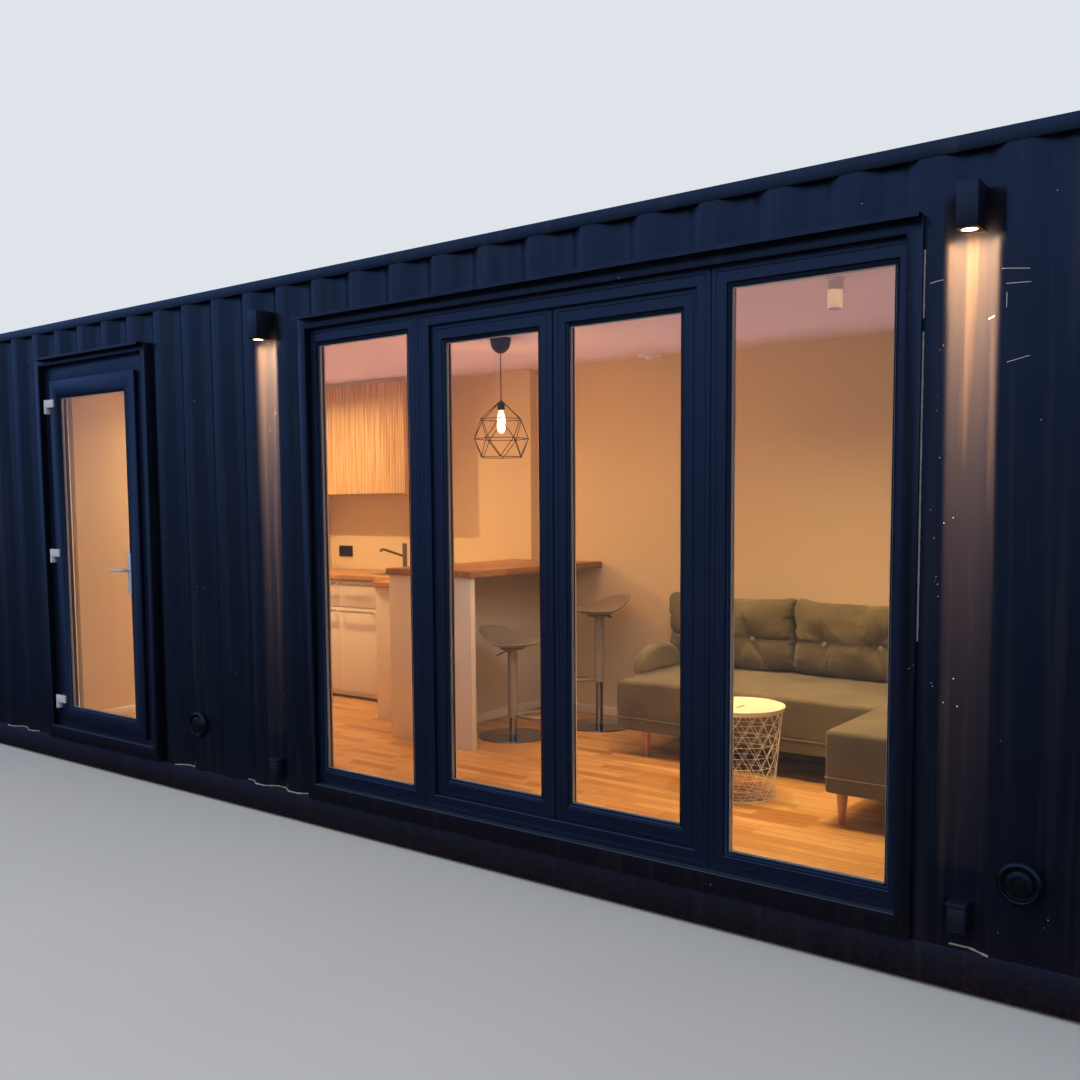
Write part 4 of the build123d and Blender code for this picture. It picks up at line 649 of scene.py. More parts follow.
# The glazing: two 4 mm sheets of float glass 16 mm apart, a silver spacer bar between their edges,
# and a black rubber gasket that presses on the outer sheet all round.
float_glass, tree, shader, place = new_material("clear_float_glass")
wave = add(tree, "TexNoise", {"Vector": place, "Scale": 0.8, "Detail": 1.0})
tint = add(tree, "Mix", {0: wave, 6: linear("#f4f8f6"), 7: linear("#fbfdfc")}, data_type="RGBA")
bump = add(tree, "Bump", {"Height": wave, "Distance": 0.0006, "Strength": 0.4})
feed(shader, {"Base Color": tint, "Normal": bump, "Roughness": 0.0, "IOR": 1.2,
              "Transmission Weight": 1.0})
spacer_metal = coated("mill_finish_aluminium", "#b9b7b2", "#d0cec9", 0.05, 0.38, 0.0015, 0.0001,
                      0.7)
rubber = coated("epdm_rubber", "#0b0c0e", "#121316", 0.05, 0.6, 0.001, 0.0001)
SHEET, SHEET_STEP = 0.004, 0.020
panes = [("left_window", units[0][0] + FIXED_MEMBER, units[0][1] - FIXED_MEMBER, glass_low,
          glass_high, "cabin", ["fixed_window_panes"]),
         ("right_window", units[1][0] + FIXED_MEMBER, units[1][1] - FIXED_MEMBER, glass_low,
          glass_high, "cabin", [])]
for body, node in (("left_leaf", "left_leaf_pane"), ("right_leaf", "right_leaf_pane"),
                   ("entrance_door", "door_pane")):
    low, high = daylight(node)
    panes.append((body, low.x, high.x, low, high, body, [node]))
for name, left, right, low, high, body, replaced in panes:
    bm = bmesh.new()
    for y in (low.y, low.y + SHEET_STEP):
        slab(bm, (left + 0.001, y, low.z + 0.001), (right - 0.001, y + SHEET, high.z - 0.001), 0)
    put(name + "_glass", bm, float_glass, body, replaced, 0)
    bm = bmesh.new()
    framed(bm, (left, low.z), (right, high.z), [1] * 4,
           [(0.001, 0.0045), (0.009, 0.006), (0.010, 0.012), (0.009, 0.018), (0.001, 0.0195)],
           low.y)
    put(name + "_spacer", bm, spacer_metal, body)
    bm = bmesh.new()
    for y, out in ((low.y, -1), (low.y + SHEET_STEP + SHEET, 1)):
        framed(bm, (left, low.z), (right, high.z), [1] * 4,
               [(0.0003, out * 0.0045), (0.003, out * 0.0045), (0.006, out * 0.0004),
                (0.0003, out * 0.0004)], y)
    put(name + "_gaskets", bm, rubber, body)


# The entrance door: the same kind of profile in a frame with an aluminium threshold, hung on three
# pale surface hinges with caps, and worked by a lever on a long plate.
white_hinge = coated("powder_coated_silver_zinc", "#b4bac4", "#c4c9d2", 0.02, 0.38, 0.0006, 0.0001)
handle_steel = coated("satin_anodised_aluminium", "#c3c8cf", "#d2d6dc", 0.02, 0.34, 0.0008, 0.00004,
                      0.35)
softened("door_frame", foiled_pvc("foiled_door_frame_pvc", wall_face + 0.075), 0.003)
softened("door_leaf", foiled_pvc("foiled_door_pvc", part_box("door_leaf")[0].y + 0.056), 0.003)
softened("door_hinge_barrels", white_hinge, 0.001)
softened("door_hinge_flags", white_hinge, 0.0015)
softened("door_handle_plate", handle_steel, 0.003, 3)


def bent_tube(name, points, radius):
    """A tube bent smoothly along points, as a plain mesh."""
    curve = new_curve(name, points, radius)
    curve.splines[0].resolution_u = 6
    loose = bpy.data.objects.new(name, curve)
    bpy.context.scene.collection.objects.link(loose)
    evaluated = loose.evaluated_get(bpy.context.evaluated_depsgraph_get())
    mesh = bpy.data.meshes.new_from_object(evaluated)
    bpy.data.objects.remove(loose)
    bpy.data.curves.remove(curve)
    return mesh


lever_low, lever_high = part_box("door_lever")
lever_x, lever_z = lever_high.x - 0.009, (lever_low.z + lever_high.z) / 2
grip_y = lever_low.y + 0.0095
put("door_lever_handle", bent_tube("door_lever_handle", [
    (lever_x, lever_high.y, lever_z), (lever_x, lever_high.y - 0.02, lever_z),
    (lever_x, lever_low.y + 0.012, lever_z), (lever_x - 0.008, grip_y, lever_z),
    (lever_x - 0.03, grip_y, lever_z), (lever_low.x + 0.002, grip_y, lever_z)], 0.0088),
    handle_steel, "lever", ["door_lever"])
softened("sill_strips", coated("anodised_aluminium", "#5d6066", "#6d7076", 0.1, 0.4, 0.0008, 0.0001,
                               0.8), 0.001, 1)

# Weep caps: small black covers over the drain slots, two in the bottom member of every unit.
bm = bmesh.new()
for left, right in (units[0], (french_low.x, french_high.x), units[1]):
    for share in (0.22, 0.78):
        x = left + share * (right - left)
        slab(bm, (x - 0.018, front - 0.004, fixed_low.z + 0.028),
             (x + 0.018, front + 0.001, fixed_low.z + 0.037), 0.0018)
put("drain_slot_caps", bm, rubber)


# The wall lamps: folded aluminium boxes, powder coated black, each with a round lit lens let into
# its underside. The warm pool below comes from a hidden strip lamp in the groove of the wave: each
# of its two glows has the drop over which it halves, its share and its colour.
WAVE_PITCH, GROOVE_DEPTH = 0.278, 0.036
POOL_WIDTH, POOL_LENGTH, POOL_WATTS = 0.145, 2.1, 225
POOL_GLOWS = ((0.16, 0.75, "#ffab4e"), (0.30, 0.42, "#ffbe8c"))
lamp_black = coated("powder_coated_black", "#0d0f14", "#13161c", 0.04, 0.45, 0.0008, 0.00012)
lens_glass = glowing("lit_lens_glass", "#ffd9a0", 6.0, 0.1)
lamp_low, lamp_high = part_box("wall_lamps")
for side, x, wave in (("left", lamp_low.x + 0.035, 5), ("right", lamp_high.x - 0.035, 18)):
    bm = bmesh.new()
    slab(bm, (x - 0.035, lamp_low.y, lamp_low.z),
         (x + 0.035, wall_face + GROOVE_DEPTH, lamp_high.z), 0.0025)
    middle = Matrix.Translation((x, lamp_low.y + 0.037, lamp_low.z))
    turned(bm, [(0.0265, 0.001), (0.0265, -0.001), (0.0295, -0.0015), (0.030, 0.001)], middle)
    put(side + "_wall_lamp", bm, lamp_black,
        replaced=["wall_lamps"] if side == "left" else [])
    bm = bmesh.new()
    turned(bm, [(0, -0.0006), (0.020, -0.0008), (0.0262, -0.0003), (0.0262, 0.001)], middle)
    put(side + "_lamp_lens", bm, lens_glass)
    pool = soft_lamp(side + "_lamp_pool",
                     (wave * WAVE_PITCH, wall_face + 0.003, lamp_low.z - 0.025 - POOL_LENGTH / 2),
                     (0, 1, 0), POOL_WIDTH, POOL_LENGTH, POOL_WATTS, "#ffffff")
    tree = empty_tree(pool)
    level = add(tree, "SeparateXYZ", {0: add(tree, "NewGeometry").outputs["Position"]}).outputs["Z"]
    glows = []
    for half, share, colour in POOL_GLOWS:
        halvings = add(tree, "Math", {0: level, 1: -1 / half, 2: lamp_low.z / half},
                       operation="MULTIPLY_ADD")
        fading = add(tree, "Math", {0: 0.5, 1: halvings}, operation="POWER")
        strength = add(tree, "Math", {0: fading, 1: share}, operation="MULTIPLY")
        glows.append(add(tree, "Emission", {"Color": linear(colour), "Strength": strength}))
    add(tree, "OutputLight", {"Surface": add(tree, "AddShader", {0: glows[0], 1: glows[1]})})

# The round air vents: spun black steel covers with a rolled rim, a groove and a domed middle.
vent_low, vent_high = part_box("wall_vents")
vent_metal = coated("black_anodised_spun_metal", "#101116", "#1a1c22", 0.02, 0.28, 0.0008, 0.00008,
                    0.4)
bm = bmesh.new()
for x in (vent_low.x + 0.075, vent_high.x - 0.075):
    middle = (Matrix.Translation((x, vent_high.y, (vent_low.z + vent_high.z) / 2))
              @ Matrix.Rotation(pi / 2, 4, "X"))
    turned(bm, [(0.0745, 0), (0.075, 0.004), (0.0735, 0.012), (0.069, 0.019), (0.063, 0.0225),
                (0.058, 0.021), (0.0555, 0.015), (0.054, 0.009), (0.050, 0.008), (0.047, 0.012),
                (0.043, 0.018), (0.034, 0.0215), (0.026, 0.0225), (0.0245, 0.0195),
                (0.022, 0.0195), (0.020, 0.0225), (0.010, 0.0238), (0, 0.024)], middle, 48)
put("round_air_vents", bm, vent_metal, replaced=["wall_vents"])

# The outdoor sockets: small moulded boxes under the lamps, each with a sprung lid that overhangs.
box_low, box_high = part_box("socket_boxes")
blocks = []
for x in (box_low.x + 0.034, box_high.x - 0.034):
    blocks += [((x - 0.032, box_low.y + 0.008, box_low.z),
                (x + 0.032, box_high.y, box_high.z - 0.012), 0.004),
               ((x - 0.034, box_low.y, box_high.z - 0.014),
                (x + 0.034, box_high.y - 0.002, box_high.z), 0.003),
               ((x - 0.026, box_low.y + 0.003, box_low.z + 0.012),
                (x + 0.026, box_low.y + 0.009, box_high.z - 0.02), 0.0025),
               ((x - 0.012, box_low.y + 0.001, box_low.z + 0.004),
                (x + 0.012, box_low.y + 0.009, box_low.z + 0.010), 0.002)]
slabs("outdoor_socket_boxes", black_plastic, "black_fitting", *blocks, replaced=["socket_boxes"])

# The joint sealant: a pale, cracked bead of mastic along the foot of the front sheet, which follows
# the wave and has broken away in places, and a thinner one beside the windows.
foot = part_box("front_wall_panel")[0].z + 0.002
REACH = [(-0.103, 0), (-0.035, GROOVE_DEPTH), (0.035, GROOVE_DEPTH), (0.103, 0), (0.175, 0)]
OPENINGS = ((-0.95, 0.31), (1.67, 4.86))
BEAD_SEED = 3
noise.seed_set(BEAD_SEED)
bm = bmesh.new()
for wave in range(-21, 22):
    middle = wave * WAVE_PITCH
    for (x0, y0), (x1, y1) in zip(REACH, REACH[1:]):
        for part in range(3):
            start, end = [Vector((middle + x0 + share * (x1 - x0),
                                  wall_face + y0 + share * (y1 - y0) - 0.001, foot))
                          for share in (part / 3, (part + 1) / 3)]
            covered = any(low - 0.05 < start.x < high + 0.05 for low, high in OPENINGS)
            broken = noise.noise(Vector((start.x * 4.3, 0.4, 0))) < 0.02
            if not covered and not broken and abs(end.x) < 5.9:
                wire(bm, start, end, 0.0025 + 0.002 * noise.random(), 5)
mastic = coated("cracked_grey_mastic", "#8a8780", "#b4b0a8", 0.02, 0.8, 0.004, 0.0008)
put("foot_sealant_bead", bm, mastic)
jamb, jamb_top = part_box("window_surround")[1].x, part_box("window_surround")[1].z - 0.12
bm = bmesh.new()
for part in range(95):
    low = 1.20 + part * 0.015
    if noise.noise(Vector((0, low * 9, 3))) < 0.2 + 0.3 * (low - 1.2) and low < jamb_top:
        wire(bm, (jamb + 0.0010, wall_face - 0.0010, low),
             (jamb + 0.0013, wall_face - 0.0010, low + 0.0152), 0.0026 + 0.0016 * noise.random(), 5)
put("jamb_sealant_bead", bm, mastic)


# The kitchen: melamine-faced units on a plinth, with bar handles on the drawers, an oiled wooden
# worktop with an inset steel sink, and a chrome mixer tap.
unit_white = coated("matt_white_melamine", "#e6dccb", "#ece3d4", 0.5, 0.42, 0.0012, 0.0001)
brushed_steel = coated("brushed_stainless_steel", "#b4b6b8", "#c6c8ca", 0.03, 0.3, 0.0006, 0.0001,
                       1.0)
# The sink bowl's dark grey steel tone is painted shade for the hollow of the bowl.
sink_shade_steel = coated("steel_bowl_painted_shade", "#3c3c3c", "#4c4b49", 0.1, 0.35, 0.001, 0.0001, 0.8)
chrome = coated("polished_chrome", "#8f9092", "#9c9d9f", 0.05, 0.09, 0.002, 0.00001, 1.0)
kitchen_low, kitchen_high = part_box("kitchen_units")
RUN_FRONT, RUN_END = 0.574, 0.753
STACKS = ((-0.789, -0.418), (-0.414, -0.043), (-0.041, 0.370), (0.373, 0.744))
DRAWERS = ((floor_top + 0.062, 0.942), (0.948, kitchen_high.z - 0.006))
drawers = [(left, right, low, high) for left, right in STACKS for low, high in DRAWERS]
slabs("kitchen_unit_bodies", unit_white, "white_unit",
      ((kitchen_low.x, RUN_FRONT + 0.018, skirting_top),
       (RUN_END, kitchen_high.y, kitchen_high.z), 0.001),
      ((kitchen_low.x, RUN_FRONT + 0.05, floor_top + 0.014),
       (RUN_END, kitchen_high.y - 0.1, skirting_top), 0.001),
      ((RUN_END, kitchen_low.y, floor_top), kitchen_high, 0.0015),
      *[((left, RUN_FRONT, low), (right, RUN_FRONT + 0.0175, high), 0.0015)
        for left, right, low, high in drawers], replaced=["kitchen_units"])
bm = bmesh.new()
for left, right, low, high in drawers:
    y, z = RUN_FRONT - 0.038, high - 0.024
    wire(bm, (left + 0.03, y, z), (right - 0.03, y, z), 0.008, 12)
    for x in (left + 0.04, right - 0.04):
        wire(bm, (x, y, z), (x, RUN_FRONT + 0.001, z), 0.006, 10)
put("kitchen_bar_handles", bm, brushed_steel)
oiled_oak = staved_oak("oiled_oak_worktop", ("#c59560", "#d2a36c", "#b0804c", "#8d6238"),
                       0.36, 0.042, 0.36)
softened("kitchen_worktop", oiled_oak, 0.003, 3)
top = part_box("kitchen_worktop")[1].z
slabs("inset_sink_rim", brushed_steel, "steel_fitting",
      ((0.10, 0.70, top - 0.001), (0.58, 1.06, top + 0.004), 0.002))
# The bowl is a flat plate just inside the rim. Its dark tone is painted shade standing in for the
# bowl's hollow.
slabs("inset_sink_bowl", sink_shade_steel, "steel_fitting",
      ((0.13, 0.73, top + 0.003), (0.44, 1.03, top + 0.0045), 0.001))
tap_x, tap_y = 0.280, 0.954
bm = bmesh.new()
turned(bm, [(0, 0), (0.020, 0), (0.020, 0.006), (0.0185, 0.010), (0.0175, 0.150), (0.0185, 0.154),
            (0.0185, 0.224), (0.014, 0.231), (0, 0.232)], Matrix.Translation((tap_x, tap_y, top)))
put("mixer_tap_column", bm, chrome, replaced=["kitchen_tap"])
put("mixer_tap_spout", bent_tube("mixer_tap_spout", [
    (tap_x + x, tap_y + y, top + z)
    for x, y, z in ((0, 0, 0.128), (-0.06, -0.014, 0.145), (-0.17, -0.040, 0.178),
                    (-0.200, -0.046, 0.184), (-0.212, -0.048, 0.166))], 0.0095),
    chrome)


# The wall cabinet: a melamine carcass with two doors veneered in ash, whose grain stands upright,
# and a white filler up to the ceiling. Below it, a twin socket in black plastic on the back wall.
def slatted_ash(name):
    """Ash veneer with its grain upright: narrow pale and honey-coloured streaks."""
    made, tree, shader, place = new_material(name)
    along = add(tree, "Mapping", {"Vector": place, "Scale": (75, 75, 1.6)})
    grain = add(tree, "TexNoise", {"Vector": along, "Scale": 1.0, "Detail": 4.0,
                                   "Roughness": 0.6})
    streak = add(tree, "MapRange", {"Value": grain, "From Min": 0.34, "From Max": 0.66})
    tone = add(tree, "Mix", {0: streak, 6: linear("#ab7f4a"), 7: linear("#f0d4a6")},
               data_type="RGBA")
    finish(shader, tone, grain, (0.4, 0.55), grain, 0.0003)
    return made


CABINET_TOP = 2.62
cabinet_low, cabinet_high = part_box("wall_cabinet")
slabs("wall_cabinet_with_doors", slatted_ash("slatted_ash_veneer"), "oak_board",
      ((cabinet_low.x, cabinet_low.y + 0.019, cabinet_low.z),
       (cabinet_high.x, cabinet_high.y, CABINET_TOP), 0.001),
      *[((left, cabinet_low.y, cabinet_low.z), (right, cabinet_low.y + 0.018, CABINET_TOP), 0.0015)
        for left, right in ((cabinet_low.x, -0.209), (-0.206, cabinet_high.x))],
      replaced=["wall_cabinet"])
slabs("wall_cabinet_filler", board_white, "white_board",
      ((cabinet_low.x, cabinet_low.y + 0.03, CABINET_TOP + 0.0005),
       (cabinet_high.x, cabinet_high.y, ceiling - 0.001), 0.001))
bm = bmesh.new()
slab(bm, (-0.679, room_back - 0.012, 1.29), (-0.524, room_back - 0.0005, 1.378), 0.003)
for x in (-0.640, -0.563):
    turned(bm, [(0.029, 0.0), (0.029, 0.003), (0.025, 0.003), (0.024, 0.0015), (0, 0.0015)],
           Matrix.Translation((x, room_back - 0.0125, 1.334)) @ Matrix.Rotation(pi / 2, 4, "X"))
put("black_wall_sockets", bm, black_plastic)


# The bar: two white melamine panels, the outer one standing across the end, under a thick top of
# acacia staves, glued and oiled.
bar_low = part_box("bar_panels")[0]
softened("bar_panels", unit_white, 0.0015)
oiled_acacia = staved_oak("oiled_acacia_bar_top", ("#a27547", "#b08253", "#8b5f36", "#6f4728"),
                          0.36, 0.042, 0.36, pi / 2)
softened("bar_worktop", oiled_acacia, 0.003, 3)
slabs("bar_skirting_board", board_white, "white_board",
      ((bar_low.x + 0.155, bar_low.y + 0.045, floor_top),
       (bar_low.x + 0.168, kitchen_high.y - 0.002, skirting_top), 0.003))


# The bar stools: a moulded shell with a low back on a gas column. The upper sleeve and the looped
# footrest are painted to match, the lower tube and the round base are chromed.
def stool_seat(bm, stand, level):
    """A dished oval shell: its rim lifts all round, and rises into a low back at +X."""
    rings, steps = 10, 40
    rows = [[bm.verts.new(stand @ Vector((0, 0, level)))]]
    for ring in range(1, rings + 1):
        share = ring / rings
        rows.append([])
        for k in range(steps):
            angle = 2 * pi * k / steps
            behind = max(0.0, min(1.0, (cos(angle) + 0.012) / 1.012))
            behind = behind * behind * (3 - 2 * behind)
            reach = (0.195 + 0.012 * max(0.0, cos(angle))) * share
            lift = 0.033 * share ** 3 + 0.083 * behind * share ** 2.6
            rows[ring].append(bm.verts.new(stand @ Vector((
                reach * cos(angle), 0.225 * share * sin(angle), level + lift))))
    for low, high in zip(rows, rows[1:]):
        for k in range(steps):
            n = (k + 1) % steps
            face = [low[k % len(low)], high[k], high[n], low[n % len(low)]]
            bm.faces.new(list(dict.fromkeys(face)))


FOOTREST = ((-0.024, 0.012), (-0.10, 0.085), (-0.19, 0.105), (-0.225, 0.05), (-0.225, -0.05),
            (-0.19, -0.105), (-0.10, -0.085), (-0.024, -0.012))
LIFT_LEVER = ((0.02, 0.03, -0.066), (0.05, 0.10, -0.075), (0.06, 0.15, -0.082))
shell_plastic = coated("moulded_taupe_polypropylene", "#9c8e7b", "#a89a86", 0.1, 0.42, 0.0015,
                       0.00012)
for name, x, y, seat, facing, swivel in (("near", 1.876, 0.278, 0.861, 205, -13),
                                         ("far", 2.144, 0.849, 1.033, 25, 30)):
    spot = Matrix.Translation((x, y, 0))
    stand = spot @ Matrix.Rotation(radians(facing), 4, "Z")
    bm = bmesh.new()
    stool_seat(bm, stand @ Matrix.Rotation(radians(swivel), 4, "Z"), seat - 0.04)
    shell = put(name + "_stool_shell", bm, shell_plastic,
                replaced=["bar_stools"] if name == "near" else [])
    thick = shell.modifiers.new("wall", "SOLIDIFY")
    thick.thickness, thick.offset = 0.009, 0
    round_off = shell.modifiers.new("smooth", "SUBSURF")
    round_off.levels = round_off.render_levels = 1
    sleeve_low = seat - 0.49
    bm = bmesh.new()
    turned(bm, [(0, sleeve_low), (0.031, sleeve_low), (0.031, seat - 0.075), (0.036, seat - 0.068),
                (0.060, seat - 0.064), (0.078, seat - 0.056), (0.075, seat - 0.048),
                (0, seat - 0.046)], spot)
    put(name + "_stool_sleeve", bm, shell_plastic)
    bm = bmesh.new()
    turned(bm, [(radius, floor_top + height) for radius, height in (
        (0, 0), (0.217, 0), (0.219, 0.003), (0.217, 0.007), (0.060, 0.010), (0.030, 0.012),
        (0.0255, 0.014), (0.0245, 0.02))] + [(0.0245, sleeve_low + 0.01), (0, sleeve_low + 0.01)],
        spot, 48)
    put(name + "_stool_base", bm, chrome)
    for part, radius, surface, slot, places in (
            ("footrest", 0.012, shell_plastic, "white_fitting",
             [(along, aside, sleeve_low + 0.016) for along, aside in FOOTREST]),
            ("lift_lever", 0.004, black_plastic, "black_fitting",
             [(along, aside, seat + level) for along, aside, level in LIFT_LEVER])):
        full_name = f"{name}_stool_{part}"
        put(full_name, bent_tube(full_name, [stand @ Vector(place) for place in places], radius),
            surface)


# The corner sofa: a foam seat and a chaise on a boarded base, loose back cushions filled with
# fibre and tied down by buttons, one bolster arm, and turned beech legs. Covered in olive weave.
def woven_cloth(name, dark, light):
    """Plain weave: threads drawn about 5 mm apart, so that they show, with slubs and shading."""
    made, tree, shader, place = new_material(name)
    slub = add(tree, "TexNoise", {"Vector": place, "Scale": 55.0, "Detail": 5.0,
                                  "Roughness": 0.7})
    cloud = add(tree, "TexNoise", {"Vector": place, "Scale": 5.0, "Detail": 3.0})
    bands = [add(tree, "TexWave", {"Vector": place, "Scale": 62.0, "Distortion": 0.6,
                                   "Detail": 1.0}, bands_direction=axis) for axis in "XYZ"]
    threads = add(tree, "Math", {0: bands[0].outputs["Color"], 1: bands[1].outputs["Fac"]},
                  operation="ADD")
    threads = add(tree, "Math", {0: threads, 1: bands[2].outputs["Fac"]}, operation="ADD")
    mixed = add(tree, "Math", {0: slub, 1: 0.6, 2: cloud}, operation="MULTIPLY_ADD")
    span = add(tree, "MapRange", {"Value": mixed, "From Min": 0.55, "From Max": 1.05})
    tone = add(tree, "Mix", {0: span, 6: linear(dark), 7: linear(light)}, data_type="RGBA")
    finish(shader, tone, slub, (0.8, 0.95), threads, 0.0006)
    feed(shader, {"Sheen Weight": 0.25, "Specular IOR Level": 0.2})
    return made


def soft_box(low, high, radius, shape=None, step=0.045):
    """A closed box of fine quads with round edges, whose points a function then moves."""
    low, high = Vector(low), Vector(high)
    lines = []
    for axis in range(3):
        size = high[axis] - low[axis]
        rim = [radius * share for share in (0, 0.2, 0.45, 0.72, 1)]
        count = max(2, round((size - 2 * radius) / step))
        inner = [radius + (size - 2 * radius) * k / count for k in range(1, count)]
        lines.append([low[axis] + d for d in rim + inner + [size - d for d in rim[::-1]]])
    bm = bmesh.new()
    for axis in range(3):
        across, up = (axis + 1) % 3, (axis + 2) % 3
        for level in (low[axis], high[axis]):
            grid = []
            for a in lines[across]:
                row = []
                for b in lines[up]:
                    point = Vector((0, 0, 0))
                    point[axis], point[across], point[up] = level, a, b
                    row.append(bm.verts.new(point))
                grid.append(row)
            for i in range(len(grid) - 1):
                for j in range(len(grid[0]) - 1):
                    bm.faces.new((grid[i][j], grid[i + 1][j], grid[i + 1][j + 1], grid[i][j + 1]))
    bmesh.ops.remove_doubles(bm, verts=bm.verts, dist=1e-6)
    middle, half = (low + high) / 2, (high - low) / 2
    for vert in bm.verts:
        core = Vector([max(low[k] + radius, min(high[k] - radius, vert.co[k])) for k in range(3)])
        away = vert.co - core
        if away.length > 1e-9:
            vert.co = core + away.normalized() * radius
        if shape:
            share = Vector([(vert.co[k] - middle[k]) / half[k] for k in range(3)])
            vert.co += Vector(shape(share, vert.co))
    return bm


def upholster(name, cover, replaced=(), levels=1):
    """Puts a padded piece on the sofa, smoothed all over, with the given levels of subdivision."""
    piece = put(name, cover, olive_weave, replaced=replaced, smooth=0)
    piece.data.shade_smooth()
    if levels:
        round_off = piece.modifiers.new("smooth", "SUBSURF")
        round_off.levels = round_off.render_levels = levels


def seat_shape(share, place):
    """A foam seat: a low crown on top, and a front that bellies a little between its seams."""
    crown = 0.010 * (1 - share.x ** 2) * (1 - share.y ** 4) if share.z > 0.9 else 0
    ripple = 0.0022 * noise.noise(place * 9.0)
    return (ripple, ripple - 0.003 * (1 - share.z ** 2) * (share.y < -0.9),
            crown * 0.6 + ripple - 0.007)


olive_weave = woven_cloth("olive_polyester_weave", "#5a523d", "#746a4f")
SEAT_LOW, SEAT_SEAM, SEAT_TOP = 0.400, 0.474, 0.694
PADS = (("sofa_seat", 2.673, 0.244, 4.190, 1.124), ("sofa_chaise", 4.196, -0.376, 4.953, 1.124))
BASES = (("sofa_seat_base", 2.677, 0.248, 4.190), ("sofa_chaise_base", 4.198, -0.372, 4.949))
for name, left, near, right, back in PADS:
    upholster(name, soft_box((left, near, SEAT_SEAM), (right, back, SEAT_TOP), 0.022, seat_shape),
              ["sofa_body"] if name == "sofa_seat" else [])
for name, left, near, right in BASES:
    upholster(name, soft_box((left, near, SEAT_LOW), (right, 1.120, SEAT_SEAM - 0.002), 0.012),
              levels=0)
piping_cloth = woven_cloth("olive_piping_cord", "#857a5c", "#9d9170")
PIPING = 0.0028
bm = bmesh.new()
for name, left, near, right, back in PADS:
    corners = [(x, y, SEAT_SEAM - 0.001)
               for x, y in ((left, 1.10), (left, near), (right, near), (right, 1.10))]
    for start, end in zip(corners, corners[1:]):
        wire(bm, start, end, PIPING, 8)
corner_x, corner_y = 4.202, -0.370
wire(bm, (corner_x, corner_y, SEAT_LOW + 0.01), (corner_x, corner_y, 0.675), PIPING, 8)
piping = put("sofa_piping", bm, piping_cloth)


def arm_shape(share, place):
    """An arm pad: its top line falls in a round curve towards its front and its back."""
    ripple = 0.003 * noise.noise(place * 11.0)
    full = max(0.01, 1 - abs(share.y) ** 2.6) ** 0.5
    return (ripple, 0, ripple * full + (place.z - ARM_LOW) * (full - 1))


ARM_LOW = 0.691
upholster("sofa_arm_bolster", soft_box((2.643, 0.462, ARM_LOW), (2.716, 0.945, 0.853), 0.030,
                                       arm_shape, 0.03), ["sofa_arm"])


def swollen(mesh, stitches, give=0.024):
    """Swells a sewn cover by cloth simulation, held where its thread pulls it in."""
    def evaluated_mesh():
        return bpy.data.meshes.new_from_object(
            holder.evaluated_get(bpy.context.evaluated_depsgraph_get()))

    holder = bpy.data.objects.new(mesh.name + "_swelling", mesh)
    bpy.context.scene.collection.objects.link(holder)
    even = holder.modifiers.new("even", "REMESH")
    even.mode, even.voxel_size = "VOXEL", 0.009
    fine = evaluated_mesh()
    holder.modifiers.clear()
    holder.data = fine
    start = [vert.co.copy() for vert in fine.vertices]
    sewn = [vert.index for vert in fine.vertices
            if any((vert.co - stitch).length < size for stitch, size in stitches)]
    holder.vertex_groups.new(name="held").add(sewn, 1.0, "REPLACE")
    cloth = holder.modifiers.new("swell", "CLOTH").settings
    cloth.use_pressure = True
    cloth.uniform_pressure_force = 4
    cloth.vertex_group_mass = "held"
    cloth.effector_weights.gravity = 0
    cloth.shrink_min = -0.06
    cloth.bending_stiffness = 0.2
    for moment in range(1, 17):
        bpy.context.scene.frame_set(moment)
    made = evaluated_mesh()
    for vert, place in zip(made.vertices, start):
        moved = vert.co - place
        vert.co = place + moved * min(1.0, give / max(moved.length, 1e-9))
    bpy.data.objects.remove(holder)
    bpy.context.scene.frame_set(1)
    made.name = mesh.name
    return made


SEAM_LEVEL = 0.885


def fibre_cushion(name, left, right):
    """A loose back cushion: sewn flat at its edges, plump between, tufted along its middle seam."""
    width = right - left
    buttons = [left + width * share for share in (0.28, 0.72)]

    def shape(share, place):
        out = 0.062 * ((1 - abs(share.x) ** 5) * (1 - abs(share.z) ** 4) - 1)
        groove = -0.026 * max(0.0, 1 - abs(place.z - SEAM_LEVEL) / 0.024) ** 2
        tuft = folds = 0.0
        for x in buttons:
            dx, dz = place.x - x, place.z - SEAM_LEVEL
            span = (dx * dx + dz * dz) ** 0.5
            tuft -= 0.030 * max(0.0, 1 - span / 0.09) ** 2
            around_button = Vector((dx / (span + 0.01) * 3, dz / (span + 0.01) * 3, x * 9))
            folds += 0.014 * noise.noise(around_button) * max(0.0, 1 - span / 0.24)
        pleat = 0.020 * noise.noise(Vector((place.x * 12, place.z * 34, left))) * abs(share.x) ** 4
        pleat += (0.012 * noise.noise(Vector((place.x * 40, place.z * 9, left * 5)))
                  * abs(share.z) ** 4)
        crease = 0.011 * noise.noise(Vector((place.x * 6, place.z * 14, left * 3)))
        forward = -1 if share.y < 0 else 0
        depth = out + groove + tuft + folds + pleat + crease
        sag = 0.012 * (share.x ** 2 - 1) * (share.z > 0.9) + 0.006 * noise.noise(place * 7)
        ear = 0.012 * abs(share.x) ** 8 * max(0.0, share.z) ** 4
        return (-0.010 * share.x * (1 - share.z ** 2), forward * depth,
                sag + ear if share.z > 0 else 0)

    cover = to_mesh(soft_box((left, 0.924, 0.700), (right, 1.124, 1.128), 0.05, shape, 0.02), name)
    stitches = [(Vector((x, 0.962, SEAM_LEVEL)), 0.022) for x in buttons]
    stitches += [(Vector((edge, 1.03, 0.72 + 0.033 * k)), 0.012)
                 for edge in (left, right) for k in range(13)]
    cover = swollen(cover, stitches)
    upholster(name, cover, ["sofa_back_cushions"] if name.startswith("left") else [])
    return buttons


